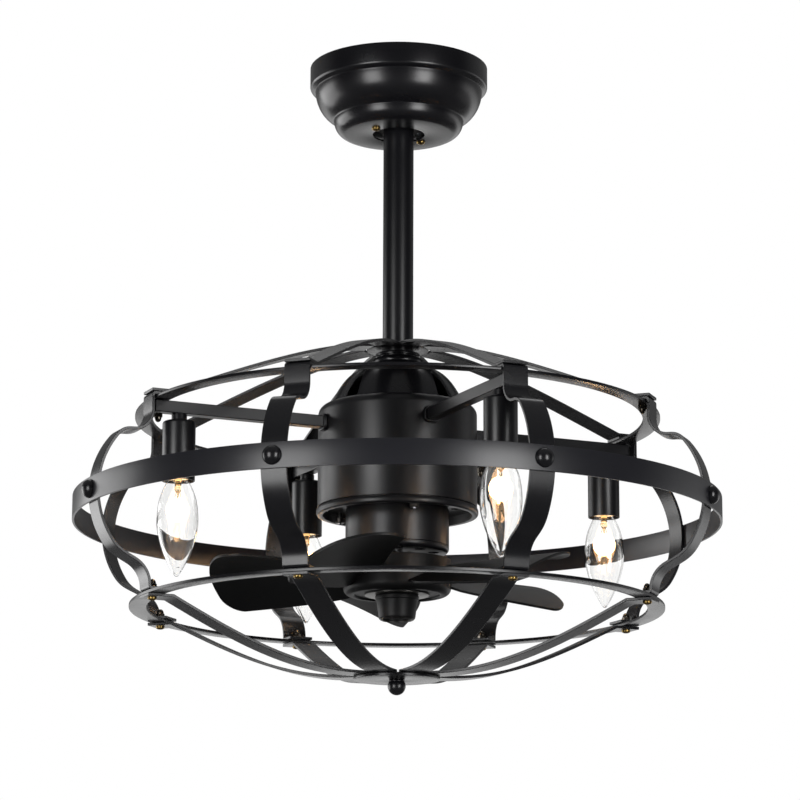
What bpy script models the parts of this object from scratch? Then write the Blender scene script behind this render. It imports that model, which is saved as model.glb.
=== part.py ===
"""Caged ceiling fan with four candle lamps and a five-blade moulded rotor.

The fan hangs from a bracket on the ceiling. A ball on top of the down rod sits in the bracket, a drum
and a motor hang at the foot of the rod, and four square arms carry a round cage of flat black bars.

Origin: the ceiling plane on the axis of the fan. +Z is up, and -Y is the front. A heading is an angle in
plan, from the front towards +X, and a piece at a heading is built along +X and then turned to it.
"""
import math

import bmesh
import bpy
from mathutils import Matrix, Vector

# Clearances, and how far a cutting tool runs past what it cuts
FIT = 0.0003
OVERRUN = 0.003

# Facets round a turned piece
RING_SIDES = 48
DRUM_SIDES = 24
TUBE_SIDES = 16
LAMP_SIDES = 12

# Canopy
CANOPY_RADIUS = 0.0787
CANOPY_BAND_HEIGHT = 0.0192
CANOPY_EDGE = 0.0008
CANOPY_STEP = 0.0047
CANOPY_WALL = 0.0015
CANOPY_FOOT_RADIUS = 0.0573
CANOPY_BELOW_BRACKET = 0.0065
CANOPY_HOLE_RADIUS = 0.023
CANOPY_SCREW_RADIUS = 0.0284
CANOPY_SCREW_HEADING = 135.9

# Hanger bracket, ball and pin
BRACKET_LENGTH = 0.080
BRACKET_WIDTH = 0.052
BRACKET_STRIP = 0.003
BRACKET_BEND = 0.008
BRACKET_DEPTH = 0.054
BRACKET_BOSS_RADIUS = 0.004
BRACKET_WIRE_HOLE_RADIUS = 0.007
BALL_RADIUS = 0.026
BALL_ABOVE_CRADLE_FOOT = 0.016
BALL_TOP_FLAT = 0.016
BALL_BOTTOM_FLAT = 0.018
PIN_RADIUS = 0.003
PIN_LENGTH = 0.042
PIN_ABOVE_BALL_CENTRE = 0.011

# Down rod, collar and yoke spider
ROD_RADIUS = 0.01335
ROD_BORE_RADIUS = 0.011
ROD_ABOVE_BALL_CENTRE = 0.020
COLLAR_BELOW_DOME = 0.0029
COLLAR_HEIGHT = 0.0115
COLLAR_FLANGE_RADIUS = 0.0194
COLLAR_FLANGE_HEIGHT = 0.0025
COLLAR_GROOVE_RADIUS = 0.0172
COLLAR_BULGE_RADIUS = 0.0224
SPIDER_HEIGHT = 0.035
SPIDER_NECK_RADIUS = 0.0244
SPIDER_NECK_HEIGHT = 0.003
SPIDER_INSIDE_DRUM = 0.010
SPIDER_WALL = 0.002
SPIDER_BOSS_RADIUS = 0.0175
SPIDER_LEGS = 4
SPIDER_SLOT_APEX_RADIUS = 0.033
SPIDER_SLOT_HALF_WIDTH = 0.009

# Drum and its base
DRUM_RADIUS = 0.069
DRUM_HEIGHT = 0.089
DRUM_SHOULDER = 0.008
DRUM_WALL = 0.0015
DRUM_WIRE_HOLE_RADIUS = 0.010
BASE_GROOVE = 0.001
BASE_LIP_OVERHANG = 0.0013
BASE_LIP_HEIGHT = 0.006
BASE_LIP_WIDTH = 0.0055
BASE_PLATE = 0.0015
BASE_PLATE_RISE = 0.0015
BASE_SPIGOT_HEIGHT = 0.004

# Motor
CAN_RADIUS = 0.0447
CAN_HEIGHT = 0.0342
CAN_TOP_ROUND = 0.003
CAN_WALL = 0.0015
END_PLATE_HEIGHT = 0.0055
END_PLATE_WALL = 0.002
END_PLATE_ROUND = 0.004
END_PLATE_SPIGOT = 0.003
VENTS = 9
VENT_RADIUS = 0.005
VENT_CIRCLE_RADIUS = 0.032
FIRST_VENT_HEADING = 38.0
SHAFT_RADIUS = 0.005
BEARING_RADIUS = 0.011
BEARING_HEIGHT = 0.007
BEARING_SEAT_WALL = 0.002
BEARING_BACK_HOLE_RADIUS = 0.0068
STATOR_BORE_RADIUS = 0.0225
STATOR_HEIGHT = 0.017
AIR_GAP = 0.001

# Rotor
HUB_RADIUS = 0.0466
HUB_HEIGHT = 0.0306
HUB_BELOW_MOTOR = 0.006
HUB_WALL = 0.0025
HUB_ROUND = 0.0066
HUB_BOSS_RADIUS = 0.009
HUB_RECESS_INSET = 0.003
HUB_RECESS_WIDTH = 0.009
HUB_RECESS_DEPTH = 0.0015
BLADES = 5
BLADE_HEADING = -90.0
BLADE_TIP_TO_BULB = 0.023
BLADE_HALF_WIDTH = 0.050
BLADE_ROOT_RAISED_WIDTH = 0.002
BLADE_ROOT_LOW_WIDTH = 0.030
BLADE_PITCH = 18.3
BLADE_CAMBER = 0.0095
BLADE_THICKNESS = 0.0022
BLADE_TIP_BOW = 0.015
BLADE_CORNER = 0.014
BLADE_ABOVE_HUB_FOOT = 0.0200
KNOB_RADIUS = 0.0188
KNOB_FOOT_RADIUS = 0.0154
KNOB_HEIGHT = 0.0202
KNOB_COLLAR_HEIGHT = 0.004
KNOB_RING_DEPTH = 0.001
KNOB_BORE_DEPTH = 0.015

# Cage
BAR_THICKNESS = 0.0025
BAR_WIDTH = 0.022
RIBS = 8
FIRST_RIB_HEADING = -65.6
BAND_RADIUS = 0.2795
BAND_HEIGHT = 0.021
BAND_THICKNESS = 0.002
RIVET_RADIUS = 0.0080
RIVET_HEIGHT = 0.0072
UPPER_RING_INSIDE_BAND = 0.052
LOWER_RING_INSIDE_BAND = 0.050
RING_WIDTH = 0.015
FLANGE_LENGTH = 0.018
RIB_BEND = 0.0018
RIB_NECK_BEND = 0.0165
RIB_NECK_HALF_HEIGHT = 0.069
RIB_UPPER_NECK_LENGTH = 0.014
RIB_LOWER_NECK_LENGTH = 0.013
RIB_SHOULDER_DROP = 0.0049
RIB_BELLY_ANGLE = 40.0
CENTRE_RING_RADIUS = 0.0272
DOME_TOP_DEPTH = 0.2550
DOME_HEIGHT = 0.064
DOME_HUB_SLOPE = 4.0
DOME_RIM_SLOPE = 22.0
DOME_HANDLE_SHARES = (0.27, 0.43)
DISC_RADIUS = 0.037
BASKET_HEIGHT = 0.0592
BASKET_FLAT_RADIUS = 0.040
BASKET_INNER_RADIUS = 0.0278
BASKET_FLANGE_LENGTH = 0.0223
BASKET_RIM_SLOPE = 26.6
BASKET_HANDLE_SHARES = (0.36, 0.36)
FINIAL_NECK_RADIUS = 0.0068
FINIAL_BALL_RADIUS = 0.0078
FINIAL_HEIGHT = 0.013
FINIAL_STUD_RADIUS = 0.003

# Lamps
LAMPS = 4
ARM_HALF_SIZE = 0.0051
ARM_WALL = 0.0011
ARM_COLLAR_HALF_SIZE = 0.0072
ARM_COLLAR_LENGTH = 0.002
ARM_END_INSIDE_RING = 0.002
LAMP_INSIDE_ARM_END = 0.0235
SOCKET_NECK_RADIUS = 0.0065
SOCKET_NECK_HEIGHT = 0.006
SOCKET_RADIUS = 0.014
SOCKET_HEIGHT = 0.051
SOCKET_ROUND = 0.003
SOCKET_WALL = 0.0013
SOCKET_MOUTH_DEPTH = 0.014
BULB_RADIUS = 0.0175
BULB_LENGTH = 0.081
BULB_CAP_RADIUS = 0.0064
BULB_CAP_LENGTH = 0.026
BULB_NECK_SHARE = 0.60
BULB_OUTLINE_SHARES = ((0.13, 0.82), (0.3, 0.98), (0.46, 1.0), (0.65, 0.88), (0.84, 0.54), (0.95, 0.23))

# Heights worked out from the sizes above
CRADLE_FOOT_Z = -BRACKET_DEPTH
CANOPY_FOOT_Z = CRADLE_FOOT_Z - CANOPY_BELOW_BRACKET
BALL_Z = CRADLE_FOOT_Z + BALL_ABOVE_CRADLE_FOOT
PIN_Z = BALL_Z + PIN_ABOVE_BALL_CENTRE
ROD_TOP_Z = BALL_Z + ROD_ABOVE_BALL_CENTRE
DOME_TOP_Z = -DOME_TOP_DEPTH
CENTRE_RING_FOOT_Z = DOME_TOP_Z - BAR_THICKNESS
COLLAR_FOOT_Z = CENTRE_RING_FOOT_Z - COLLAR_BELOW_DOME - COLLAR_HEIGHT
SPIDER_TOP_Z = COLLAR_FOOT_Z - FIT
SPIDER_FOOT_Z = SPIDER_TOP_Z - SPIDER_HEIGHT
ROD_FOOT_Z = SPIDER_FOOT_Z + SPIDER_WALL
DRUM_TOP_Z = SPIDER_FOOT_Z - FIT
DRUM_FOOT_Z = DRUM_TOP_Z - DRUM_HEIGHT
BASE_LIP_TOP_Z = DRUM_FOOT_Z - BASE_GROOVE
BASE_PLATE_FOOT_Z = BASE_LIP_TOP_Z + BASE_PLATE_RISE
CAN_TOP_Z = BASE_PLATE_FOOT_Z - FIT
CAN_FOOT_Z = CAN_TOP_Z - CAN_HEIGHT
END_PLATE_TOP_Z = CAN_FOOT_Z - FIT
MOTOR_FOOT_Z = END_PLATE_TOP_Z - END_PLATE_HEIGHT
UPPER_BEARING_TOP_Z = CAN_TOP_Z - CAN_WALL - FIT
LOWER_BEARING_FOOT_Z = MOTOR_FOOT_Z + END_PLATE_WALL + FIT
HUB_TOP_Z = MOTOR_FOOT_Z - HUB_BELOW_MOTOR
HUB_FOOT_Z = HUB_TOP_Z - HUB_HEIGHT
KNOB_TOP_Z = HUB_FOOT_Z - FIT
KNOB_FOOT_Z = KNOB_TOP_Z - KNOB_HEIGHT
SHAFT_FOOT_Z = KNOB_TOP_Z - KNOB_BORE_DEPTH + FIT
UPPER_RING_TOP_Z = DOME_TOP_Z - DOME_HEIGHT
EQUATOR_Z = UPPER_RING_TOP_Z - RIB_UPPER_NECK_LENGTH - RIB_NECK_HALF_HEIGHT
LOWER_RING_TOP_Z = EQUATOR_Z - RIB_NECK_HALF_HEIGHT - RIB_LOWER_NECK_LENGTH
UPPER_FLANGE_Z = UPPER_RING_TOP_Z + FIT + BAR_THICKNESS / 2
LOWER_FLANGE_Z = LOWER_RING_TOP_Z + FIT + BAR_THICKNESS / 2
TOP_STRAP_FLANGE_Z = UPPER_FLANGE_Z + BAR_THICKNESS + FIT
BOTTOM_STRAP_FLANGE_Z = LOWER_RING_TOP_Z - BAR_THICKNESS - FIT - BAR_THICKNESS / 2
DISC_TOP_Z = LOWER_RING_TOP_Z - BASKET_HEIGHT
DISC_FOOT_Z = DISC_TOP_Z - BAR_THICKNESS
ARM_Z = UPPER_RING_TOP_Z - BAR_THICKNESS - FIT - ARM_HALF_SIZE
SOCKET_TOP_Z = ARM_Z - ARM_HALF_SIZE - FIT
SOCKET_FOOT_Z = SOCKET_TOP_Z - SOCKET_NECK_HEIGHT - SOCKET_HEIGHT

# Radii worked out from the sizes above
SPIDER_FOOT_RADIUS = DRUM_RADIUS - SPIDER_INSIDE_DRUM
BASE_LIP_RADIUS = DRUM_RADIUS + BASE_LIP_OVERHANG
HUB_RECESS_OUTER_RADIUS = HUB_RADIUS - HUB_ROUND - HUB_RECESS_INSET
HUB_RECESS_INNER_RADIUS = HUB_RECESS_OUTER_RADIUS - HUB_RECESS_WIDTH
UPPER_RING_RADIUS = BAND_RADIUS - UPPER_RING_INSIDE_BAND
LOWER_RING_RADIUS = BAND_RADIUS - LOWER_RING_INSIDE_BAND
RIB_NECK_RADIUS = UPPER_RING_RADIUS + FIT + BAR_THICKNESS / 2
RIB_BELLY_REACH = BAND_RADIUS - BAND_THICKNESS - FIT - BAR_THICKNESS / 2
RIB_SHOULDER_HEIGHT = RIB_NECK_HALF_HEIGHT - RIB_NECK_BEND - RIB_SHOULDER_DROP
RIB_BELLY_RADIUS = RIB_SHOULDER_HEIGHT / math.sin(math.radians(RIB_BELLY_ANGLE))
FLANGE_END_RADIUS = RIB_NECK_RADIUS + BAR_THICKNESS / 2
BASKET_RIM_RADIUS = FLANGE_END_RADIUS - BASKET_FLANGE_LENGTH
ARM_END_RADIUS = UPPER_RING_RADIUS - ARM_END_INSIDE_RING
LAMP_RADIUS = ARM_END_RADIUS - LAMP_INSIDE_ARM_END
BLADE_TIP_RADIUS = LAMP_RADIUS - BULB_RADIUS - BLADE_TIP_TO_BULB


def clear_scene():
    """Remove whatever the file holds, so that only the fan is in it."""
    for item in list(bpy.data.objects):
        bpy.data.objects.remove(item, do_unlink=True)


def surface(name, colour, roughness, metallic):
    """A material of one colour for each kind of stock that the fan is made of."""
    material = bpy.data.materials.new(name)
    material.use_nodes = True
    shader = material.node_tree.nodes["Principled BSDF"]
    shader.inputs["Base Color"].default_value = (*colour, 1.0)
    shader.inputs["Roughness"].default_value = roughness
    shader.inputs["Metallic"].default_value = metallic
    material.diffuse_color = (*colour, 1.0)
    return material


def make_surfaces():
    """Every stock in the fan, by the name that the pieces use."""
    return {
        "powder_coat": surface("powder_coat", (0.022, 0.022, 0.026), 0.42, 0.0),
        "lamp_black": surface("lamp_black", (0.016, 0.016, 0.019), 0.38, 0.0),
        "moulded_black": surface("moulded_black", (0.020, 0.020, 0.022), 0.45, 0.0),
        "zinc_steel": surface("zinc_steel", (0.55, 0.56, 0.58), 0.35, 1.0),
        "bearing_steel": surface("bearing_steel", (0.62, 0.62, 0.64), 0.2, 1.0),
        "core_steel": surface("core_steel", (0.28, 0.29, 0.31), 0.5, 1.0),
        "ball_polymer": surface("ball_polymer", (0.05, 0.05, 0.05), 0.5, 0.0),
        "clear_glass": surface("clear_glass", (0.92, 0.94, 0.95), 0.03, 0.0),
    }


def polar(centre, reach, start_deg, end_deg, steps):
    """Points of an ellipse arc in the radius and height plane, both ends included."""
    points = []
    for step in range(steps + 1):
        angle = math.radians(start_deg + (end_deg - start_deg) * step / steps)
        points.append((centre[0] + reach[0] * math.cos(angle), centre[1] + reach[1] * math.sin(angle)))
    return points


def quarter(centre, radius, start_deg, end_deg, steps=3):
    """Points of a round arc in the radius and height plane."""
    return polar(centre, (radius, radius), start_deg, end_deg, steps)


def bezier(controls, steps):
    """Points inside a smooth curve, without its two ends."""
    points = []
    for step in range(1, steps):
        share = step / steps
        stage = [Vector(control) for control in controls]
        while len(stage) > 1:
            stage = [first.lerp(second, share) for first, second in zip(stage, stage[1:])]
        points.append(tuple(stage[0]))
    return points


def beside(line, distance):
    """The line moved sideways by a distance, mitred at each bend."""
    points = [Vector(point) for point in line]
    moved = []
    for index, point in enumerate(points):
        before = points[max(index - 1, 0)]
        after = points[min(index + 1, len(points) - 1)]
        arriving = (point - before).normalized() if index > 0 else (after - point).normalized()
        leaving = (after - point).normalized() if index < len(points) - 1 else arriving
        normal = Vector((-arriving.y, arriving.x))
        mitre = (normal + Vector((-leaving.y, leaving.x))).normalized()
        moved.append(tuple(point + mitre * (distance / mitre.dot(normal))))
    return moved


def add_piece(name, bm, material, sharp_deg=32.0):
    """Turn a finished bmesh into a named object with its own smooth shading."""
    bmesh.ops.recalc_face_normals(bm, faces=bm.faces)
    mesh = bpy.data.meshes.new(name)
    bm.to_mesh(mesh)
    bm.free()
    mesh.materials.append(material)
    mesh.shade_smooth()
    mesh.set_sharp_from_angle(angle=math.radians(sharp_deg))
    piece = bpy.data.objects.new(name, mesh)
    bpy.context.collection.objects.link(piece)
    return piece


def spin_outline(bm, outline, sides, closed=True, flats=False, start_deg=0.0):
    """Spin an outline of radii and heights round Z. With flats, a facet's middle lies at each radius."""
    grow = 1 / math.cos(math.pi / sides) if flats else 1.0
    start = math.radians(start_deg)
    ring = [bm.verts.new((radius * grow * math.cos(start), radius * grow * math.sin(start), height))
            for radius, height in outline]
    pairs = list(zip(ring, ring[1:]))
    if closed:
        pairs.append((ring[-1], ring[0]))
    edges = [bm.edges.new(pair) for pair in pairs]
    bmesh.ops.spin(bm, geom=ring + edges, cent=(0, 0, 0), axis=(0, 0, 1), angle=math.tau, steps=sides,
                   use_merge=True, use_duplicate=False)
    bmesh.ops.remove_doubles(bm, verts=bm.verts, dist=FIT / 1000)


def turned(name, outline, sides, material, **options):
    """A piece turned on the fan's axis."""
    bm = bmesh.new()
    spin_outline(bm, outline, sides, **options)
    return add_piece(name, bm, material)


def turned_at(name, outline, sides, material, place, matrix=None, **options):
    """A piece turned on its own axis, then tipped by a matrix and set at a place."""
    bm = bmesh.new()
    spin_outline(bm, outline, sides, **options)
    bmesh.ops.transform(bm, matrix=matrix or Matrix.Identity(4), verts=bm.verts)
    piece = add_piece(name, bm, material)
    piece.location = place
    return piece


def face_heading(piece, heading_deg):
    """Turn a piece that is built along +X round the axis of the fan to its heading."""
    piece.rotation_euler = (0, 0, math.radians(heading_deg - 90))


def copies_round(name, first, count, first_heading):
    """Name the first piece and set its copies evenly round the fan, each one its own object."""
    pieces = []
    for index in range(count):
        piece = first if index == 0 else first.copy()
        piece.name = f"{name}_{index + 1}"
        if index > 0:
            bpy.context.collection.objects.link(piece)
        face_heading(piece, first_heading + 360 / count * index)
        pieces.append(piece)
    return pieces


def extruded(name, outline, width, material):
    """A flat outline of radii and heights pushed out to a width, centred on the radius plane."""
    bm = bmesh.new()
    face = bm.faces.new([bm.verts.new((radius, -width / 2, height)) for radius, height in outline])
    swept = bmesh.ops.extrude_face_region(bm, geom=[face])
    moved = [item for item in swept["geom"] if isinstance(item, bmesh.types.BMVert)]
    bmesh.ops.translate(bm, verts=moved, vec=(0, width, 0))
    return add_piece(name, bm, material)


def bent_bar(name, line, material):
    """A flat bar of the cage, bent along its centre line."""
    outline = beside(line, BAR_THICKNESS / 2) + beside(line, -BAR_THICKNESS / 2)[::-1]
    return extruded(name, outline, BAR_WIDTH, material)


def tool(piece):
    """Mark an object as a cutting tool, which isn't part of the fan."""
    piece.hide_render = True
    piece.display_type = "WIRE"
    return piece


def block(name, low, high, material):
    """A rectangular block between two corners."""
    bm = bmesh.new()
    bmesh.ops.create_cube(bm, size=1.0)
    low, high = Vector(low), Vector(high)
    size = high - low
    bmesh.ops.scale(bm, vec=size, verts=bm.verts)
    bmesh.ops.translate(bm, vec=(low + high) / 2, verts=bm.verts)
    return add_piece(name, bm, material)


def combine(piece, other, operation="DIFFERENCE"):
    """Cut a tool out of a piece, or fuse it on."""
    modifier = piece.modifiers.new(other.name, "BOOLEAN")
    modifier.operation = operation
    modifier.object = tool(other)


def rod_outline(radius, top, foot):
    """A plain round bar, as an open outline from the axis to the axis."""
    return [(0, top), (radius, top), (radius, foot), (0, foot)]


def ring_outline(inner, outer, top, foot):
    """A plain ring of rectangular section."""
    return [(inner, top), (outer, top), (outer, foot), (inner, foot)]


def make_canopy(stock):
    """The spun cover on the ceiling: a band, a bulge and a rounded foot with a hole for the rod."""
    bulge_radius = CANOPY_RADIUS - CANOPY_STEP
    step_z = -CANOPY_BAND_HEIGHT - CANOPY_EDGE
    bulge_centre = CANOPY_RADIUS - 6.1 * CANOPY_STEP
    foot_round = (CANOPY_FOOT_RADIUS - bulge_centre, (step_z - CANOPY_FOOT_Z) * 0.31)
    foot_z = CANOPY_FOOT_Z + foot_round[1]
    bulge_reach = (bulge_radius - bulge_centre, (step_z - foot_z) * 1.025)
    wall = CANOPY_WALL
    outside = [(CANOPY_RADIUS, 0), (CANOPY_RADIUS, -CANOPY_BAND_HEIGHT), (CANOPY_RADIUS - CANOPY_EDGE, step_z)]
    outside += polar((bulge_centre, step_z), bulge_reach, 0, -70, 4)
    outside += polar((bulge_centre, foot_z), foot_round, 0, -90, 3)
    inside = polar((bulge_centre, foot_z), (foot_round[0] - wall, foot_round[1] - wall), -90, 0, 2)
    inside += polar((bulge_centre, step_z), (bulge_reach[0] - wall, bulge_reach[1] - wall), -62, 0, 2)
    inside += [(bulge_radius - wall, step_z + wall), (CANOPY_RADIUS - wall, step_z + 2 * wall),
               (CANOPY_RADIUS - wall, 0)]
    outline = outside + [(CANOPY_HOLE_RADIUS, CANOPY_FOOT_Z), (CANOPY_HOLE_RADIUS, CANOPY_FOOT_Z + wall)]
    return turned("canopy", outline + inside, DRUM_SIDES, stock["powder_coat"])


def bracket_loop(inset):
    """The bracket's strip from the front, as a rounded rectangle drawn in by an inset."""
    half = BRACKET_LENGTH / 2 - inset
    top, foot = -inset, CRADLE_FOOT_Z + inset
    bend = BRACKET_BEND - inset
    loop = quarter((half - bend, top - bend), bend, 90, 0)
    loop += quarter((half - bend, foot + bend), bend, 0, -90)
    loop += quarter((bend - half, foot + bend), bend, -90, -180)
    loop += quarter((bend - half, top - bend), bend, 180, 90)
    return loop


def make_hanger_bracket(stock):
    """The steel strip on the ceiling box, with a cradle for the ball and a slot to lift the ball in."""
    bm = bmesh.new()
    outer = [bm.verts.new((x, -BRACKET_WIDTH / 2, z)) for x, z in bracket_loop(0)]
    inner = [bm.verts.new((x, -BRACKET_WIDTH / 2, z)) for x, z in bracket_loop(BRACKET_STRIP)]
    faces = []
    for index in range(len(outer)):
        after = (index + 1) % len(outer)
        faces.append(bm.faces.new((outer[index], outer[after], inner[after], inner[index])))
    swept = bmesh.ops.extrude_face_region(bm, geom=faces)
    moved = [item for item in swept["geom"] if isinstance(item, bmesh.types.BMVert)]
    bmesh.ops.translate(bm, verts=moved, vec=(0, BRACKET_WIDTH, 0))
    bracket = add_piece("hanger_bracket", bm, stock["zinc_steel"])

    cradle_top_z = CRADLE_FOOT_Z + BRACKET_STRIP
    seat_radius = math.sqrt(BALL_RADIUS ** 2 - (BALL_Z - cradle_top_z) ** 2) + FIT
    seat = rod_outline(seat_radius, cradle_top_z + OVERRUN, CRADLE_FOOT_Z - OVERRUN)
    combine(bracket, turned("tool_ball_seat", seat, DRUM_SIDES, stock["zinc_steel"], closed=False))
    slot_half = ROD_RADIUS + 3 * FIT
    slot = block("tool_rod_slot", (-slot_half, 0, CRADLE_FOOT_Z - OVERRUN),
                 (slot_half, BRACKET_WIDTH / 2 + OVERRUN, cradle_top_z + OVERRUN), stock["zinc_steel"])
    combine(bracket, slot)
    for side in (-1, 1):
        hole = rod_outline(BRACKET_WIRE_HOLE_RADIUS, OVERRUN, -BRACKET_STRIP - OVERRUN)
        place = (side * BRACKET_LENGTH / 4, 0, 0)
        combine(bracket, turned_at("tool_wire_hole", hole, LAMP_SIDES, stock["zinc_steel"], place, closed=False))
    for turn in (0, 180):
        boss = rod_outline(BRACKET_BOSS_RADIUS, CRADLE_FOOT_Z + BRACKET_STRIP / 2, CANOPY_FOOT_Z + CANOPY_WALL + FIT)
        angle = math.radians(CANOPY_SCREW_HEADING - 90 + turn)
        place = (CANOPY_SCREW_RADIUS * math.cos(angle), CANOPY_SCREW_RADIUS * math.sin(angle), 0)
        boss_piece = turned_at("tool_screw_boss", boss, LAMP_SIDES, stock["zinc_steel"], place, closed=False)
        combine(bracket, boss_piece, "UNION")
    return bracket


def make_hanger_ball(stock):
    """The split ball that carries the rod, flat at both ends, with a groove for the cross pin."""
    bore = ROD_RADIUS + FIT
    top_deg = math.degrees(math.asin(BALL_TOP_FLAT / BALL_RADIUS))
    foot_deg = -math.degrees(math.asin(BALL_BOTTOM_FLAT / BALL_RADIUS))
    outline = [(bore, BALL_Z + BALL_TOP_FLAT)]
    outline += quarter((0, BALL_Z), BALL_RADIUS, top_deg, foot_deg, 6)
    outline += [(bore, BALL_Z - BALL_BOTTOM_FLAT)]
    ball = turned("hanger_ball", outline, TUBE_SIDES, stock["ball_polymer"])
    reach = PIN_RADIUS + FIT
    groove = block("tool_pin_groove", (-BALL_RADIUS - OVERRUN, -reach, PIN_Z - reach),
                   (BALL_RADIUS + OVERRUN, reach, BALL_Z + BALL_TOP_FLAT + OVERRUN), stock["ball_polymer"])
    combine(ball, groove)
    return ball


def lying_along_x():
    """A matrix that lays a piece turned on Z down along X."""
    return Matrix.Rotation(math.radians(90), 4, "Y")


def make_hanger_pin(stock):
    """The cross pin through the rod, which rests in the ball's groove."""
    outline = rod_outline(PIN_RADIUS, PIN_LENGTH / 2, -PIN_LENGTH / 2)
    return turned_at("hanger_pin", outline, LAMP_SIDES, stock["zinc_steel"], (0, 0, PIN_Z), lying_along_x(),
                     closed=False)


def make_downrod(stock):
    """The steel tube from the ball to the yoke, drilled across for the pin."""
    outline = ring_outline(ROD_BORE_RADIUS, ROD_RADIUS, ROD_TOP_Z, ROD_FOOT_Z)
    rod = turned("downrod", outline, TUBE_SIDES, stock["powder_coat"])
    drill = rod_outline(PIN_RADIUS + FIT, ROD_RADIUS + OVERRUN, -ROD_RADIUS - OVERRUN)
    combine(rod, turned_at("tool_pin_drill", drill, LAMP_SIDES, stock["powder_coat"], (0, 0, PIN_Z),
                           lying_along_x(), closed=False))
    return rod


def make_coupling_collar(stock):
    """The turned cover over the joint of rod and yoke: a flange, a groove and a bulge."""
    bore = ROD_RADIUS + FIT
    foot = COLLAR_FOOT_Z
    top = foot + COLLAR_HEIGHT
    groove_top = top - COLLAR_FLANGE_HEIGHT
    groove_foot = groove_top - COLLAR_FLANGE_HEIGHT / 2
    edge = COLLAR_FLANGE_HEIGHT / 3
    outline = [(bore, top), (COLLAR_FLANGE_RADIUS - edge, top), (COLLAR_FLANGE_RADIUS, top - edge),
               (COLLAR_FLANGE_RADIUS, groove_top), (COLLAR_GROOVE_RADIUS, groove_top),
               (COLLAR_GROOVE_RADIUS, groove_foot)]
    bulge = (COLLAR_BULGE_RADIUS - COLLAR_GROOVE_RADIUS, (groove_foot - foot) / 2)
    outline += polar((COLLAR_GROOVE_RADIUS, groove_foot - bulge[1]), bulge, 62, -40, 3)
    outline += [(COLLAR_FLANGE_RADIUS, foot), (bore, foot)]
    return turned("coupling_collar", outline, TUBE_SIDES, stock["powder_coat"])


def make_yoke_spider(stock):
    """The flared cover that bolts to the drum, cut by four wedges into four legs."""
    bore = ROD_RADIUS + FIT
    top, foot = SPIDER_TOP_Z, SPIDER_FOOT_Z
    neck_foot = top - SPIDER_NECK_HEIGHT
    flare_start = SPIDER_NECK_RADIUS + 2 * SPIDER_NECK_HEIGHT
    span = SPIDER_FOOT_RADIUS - flare_start
    drop = neck_foot - foot
    wall = SPIDER_WALL
    outside = [(flare_start + span * reach, neck_foot - drop * depth) for reach, depth in FLARE_SHARES]
    inside = [(radius - wall, height - wall / 2) for radius, height in outside[:-1]]
    outline = [(bore, top), (SPIDER_NECK_RADIUS, top), (SPIDER_NECK_RADIUS, neck_foot)] + outside
    outline += [(SPIDER_FOOT_RADIUS - wall, foot)] + inside[::-1]
    outline += [(SPIDER_BOSS_RADIUS, neck_foot - wall), (SPIDER_BOSS_RADIUS, foot), (bore, foot)]
    spider = turned("yoke_spider", outline, DRUM_SIDES, stock["powder_coat"])
    for index in range(SPIDER_LEGS):
        bm = bmesh.new()
        reach = SPIDER_FOOT_RADIUS + OVERRUN
        wedge = ((SPIDER_SLOT_APEX_RADIUS, 0), (reach, -SPIDER_SLOT_HALF_WIDTH), (reach, SPIDER_SLOT_HALF_WIDTH))
        face = bm.faces.new([bm.verts.new((x, y, foot - OVERRUN)) for x, y in wedge])
        swept = bmesh.ops.extrude_face_region(bm, geom=[face])
        moved = [item for item in swept["geom"] if isinstance(item, bmesh.types.BMVert)]
        bmesh.ops.translate(bm, verts=moved, vec=(0, 0, SPIDER_HEIGHT + OVERRUN))
        cutter = add_piece("tool_leg_wedge", bm, stock["powder_coat"])
        face_heading(cutter, 360 / SPIDER_LEGS * (index + 0.5))
        combine(spider, cutter)
    return spider


def make_drum_shell(stock):
    """The drawn drum that holds the wiring and carries the four lamp arms."""
    top, foot, wall = DRUM_TOP_Z, DRUM_FOOT_Z, DRUM_WALL
    turn = DRUM_RADIUS - DRUM_SHOULDER
    outline = [(DRUM_WIRE_HOLE_RADIUS, top)]
    outline += quarter((turn, top - DRUM_SHOULDER), DRUM_SHOULDER, 90, 0, 3)
    outline += [(DRUM_RADIUS, foot), (DRUM_RADIUS - wall, foot)]
    outline += quarter((turn, top - DRUM_SHOULDER), DRUM_SHOULDER - wall, 0, 90, 2)
    outline += [(DRUM_WIRE_HOLE_RADIUS, top - wall)]
    return turned("drum_shell", outline, DRUM_SIDES, stock["powder_coat"])


def make_drum_base(stock):
    """The pressed base of the drum: a spigot inside the wall, a rounded lip and a recessed plate."""
    spigot = DRUM_RADIUS - DRUM_WALL - FIT
    lip_foot = BASE_LIP_TOP_Z - BASE_LIP_HEIGHT
    inner = BASE_LIP_RADIUS - BASE_LIP_WIDTH
    bead = BASE_LIP_HEIGHT / 2
    plate_top = BASE_PLATE_FOOT_Z + BASE_PLATE
    outline = [(BEARING_RADIUS, BASE_PLATE_FOOT_Z), (inner, BASE_PLATE_FOOT_Z), (inner, lip_foot)]
    outline += polar((BASE_LIP_RADIUS - bead / 2, lip_foot + bead), (bead / 2, bead), -80, 80, 3)
    outline += [(spigot, BASE_LIP_TOP_Z), (spigot, plate_top + BASE_SPIGOT_HEIGHT),
                (spigot - BASE_PLATE, plate_top + BASE_SPIGOT_HEIGHT), (spigot - BASE_PLATE, plate_top),
                (BEARING_RADIUS, plate_top)]
    return turned("drum_base", outline, DRUM_SIDES, stock["powder_coat"])


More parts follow.
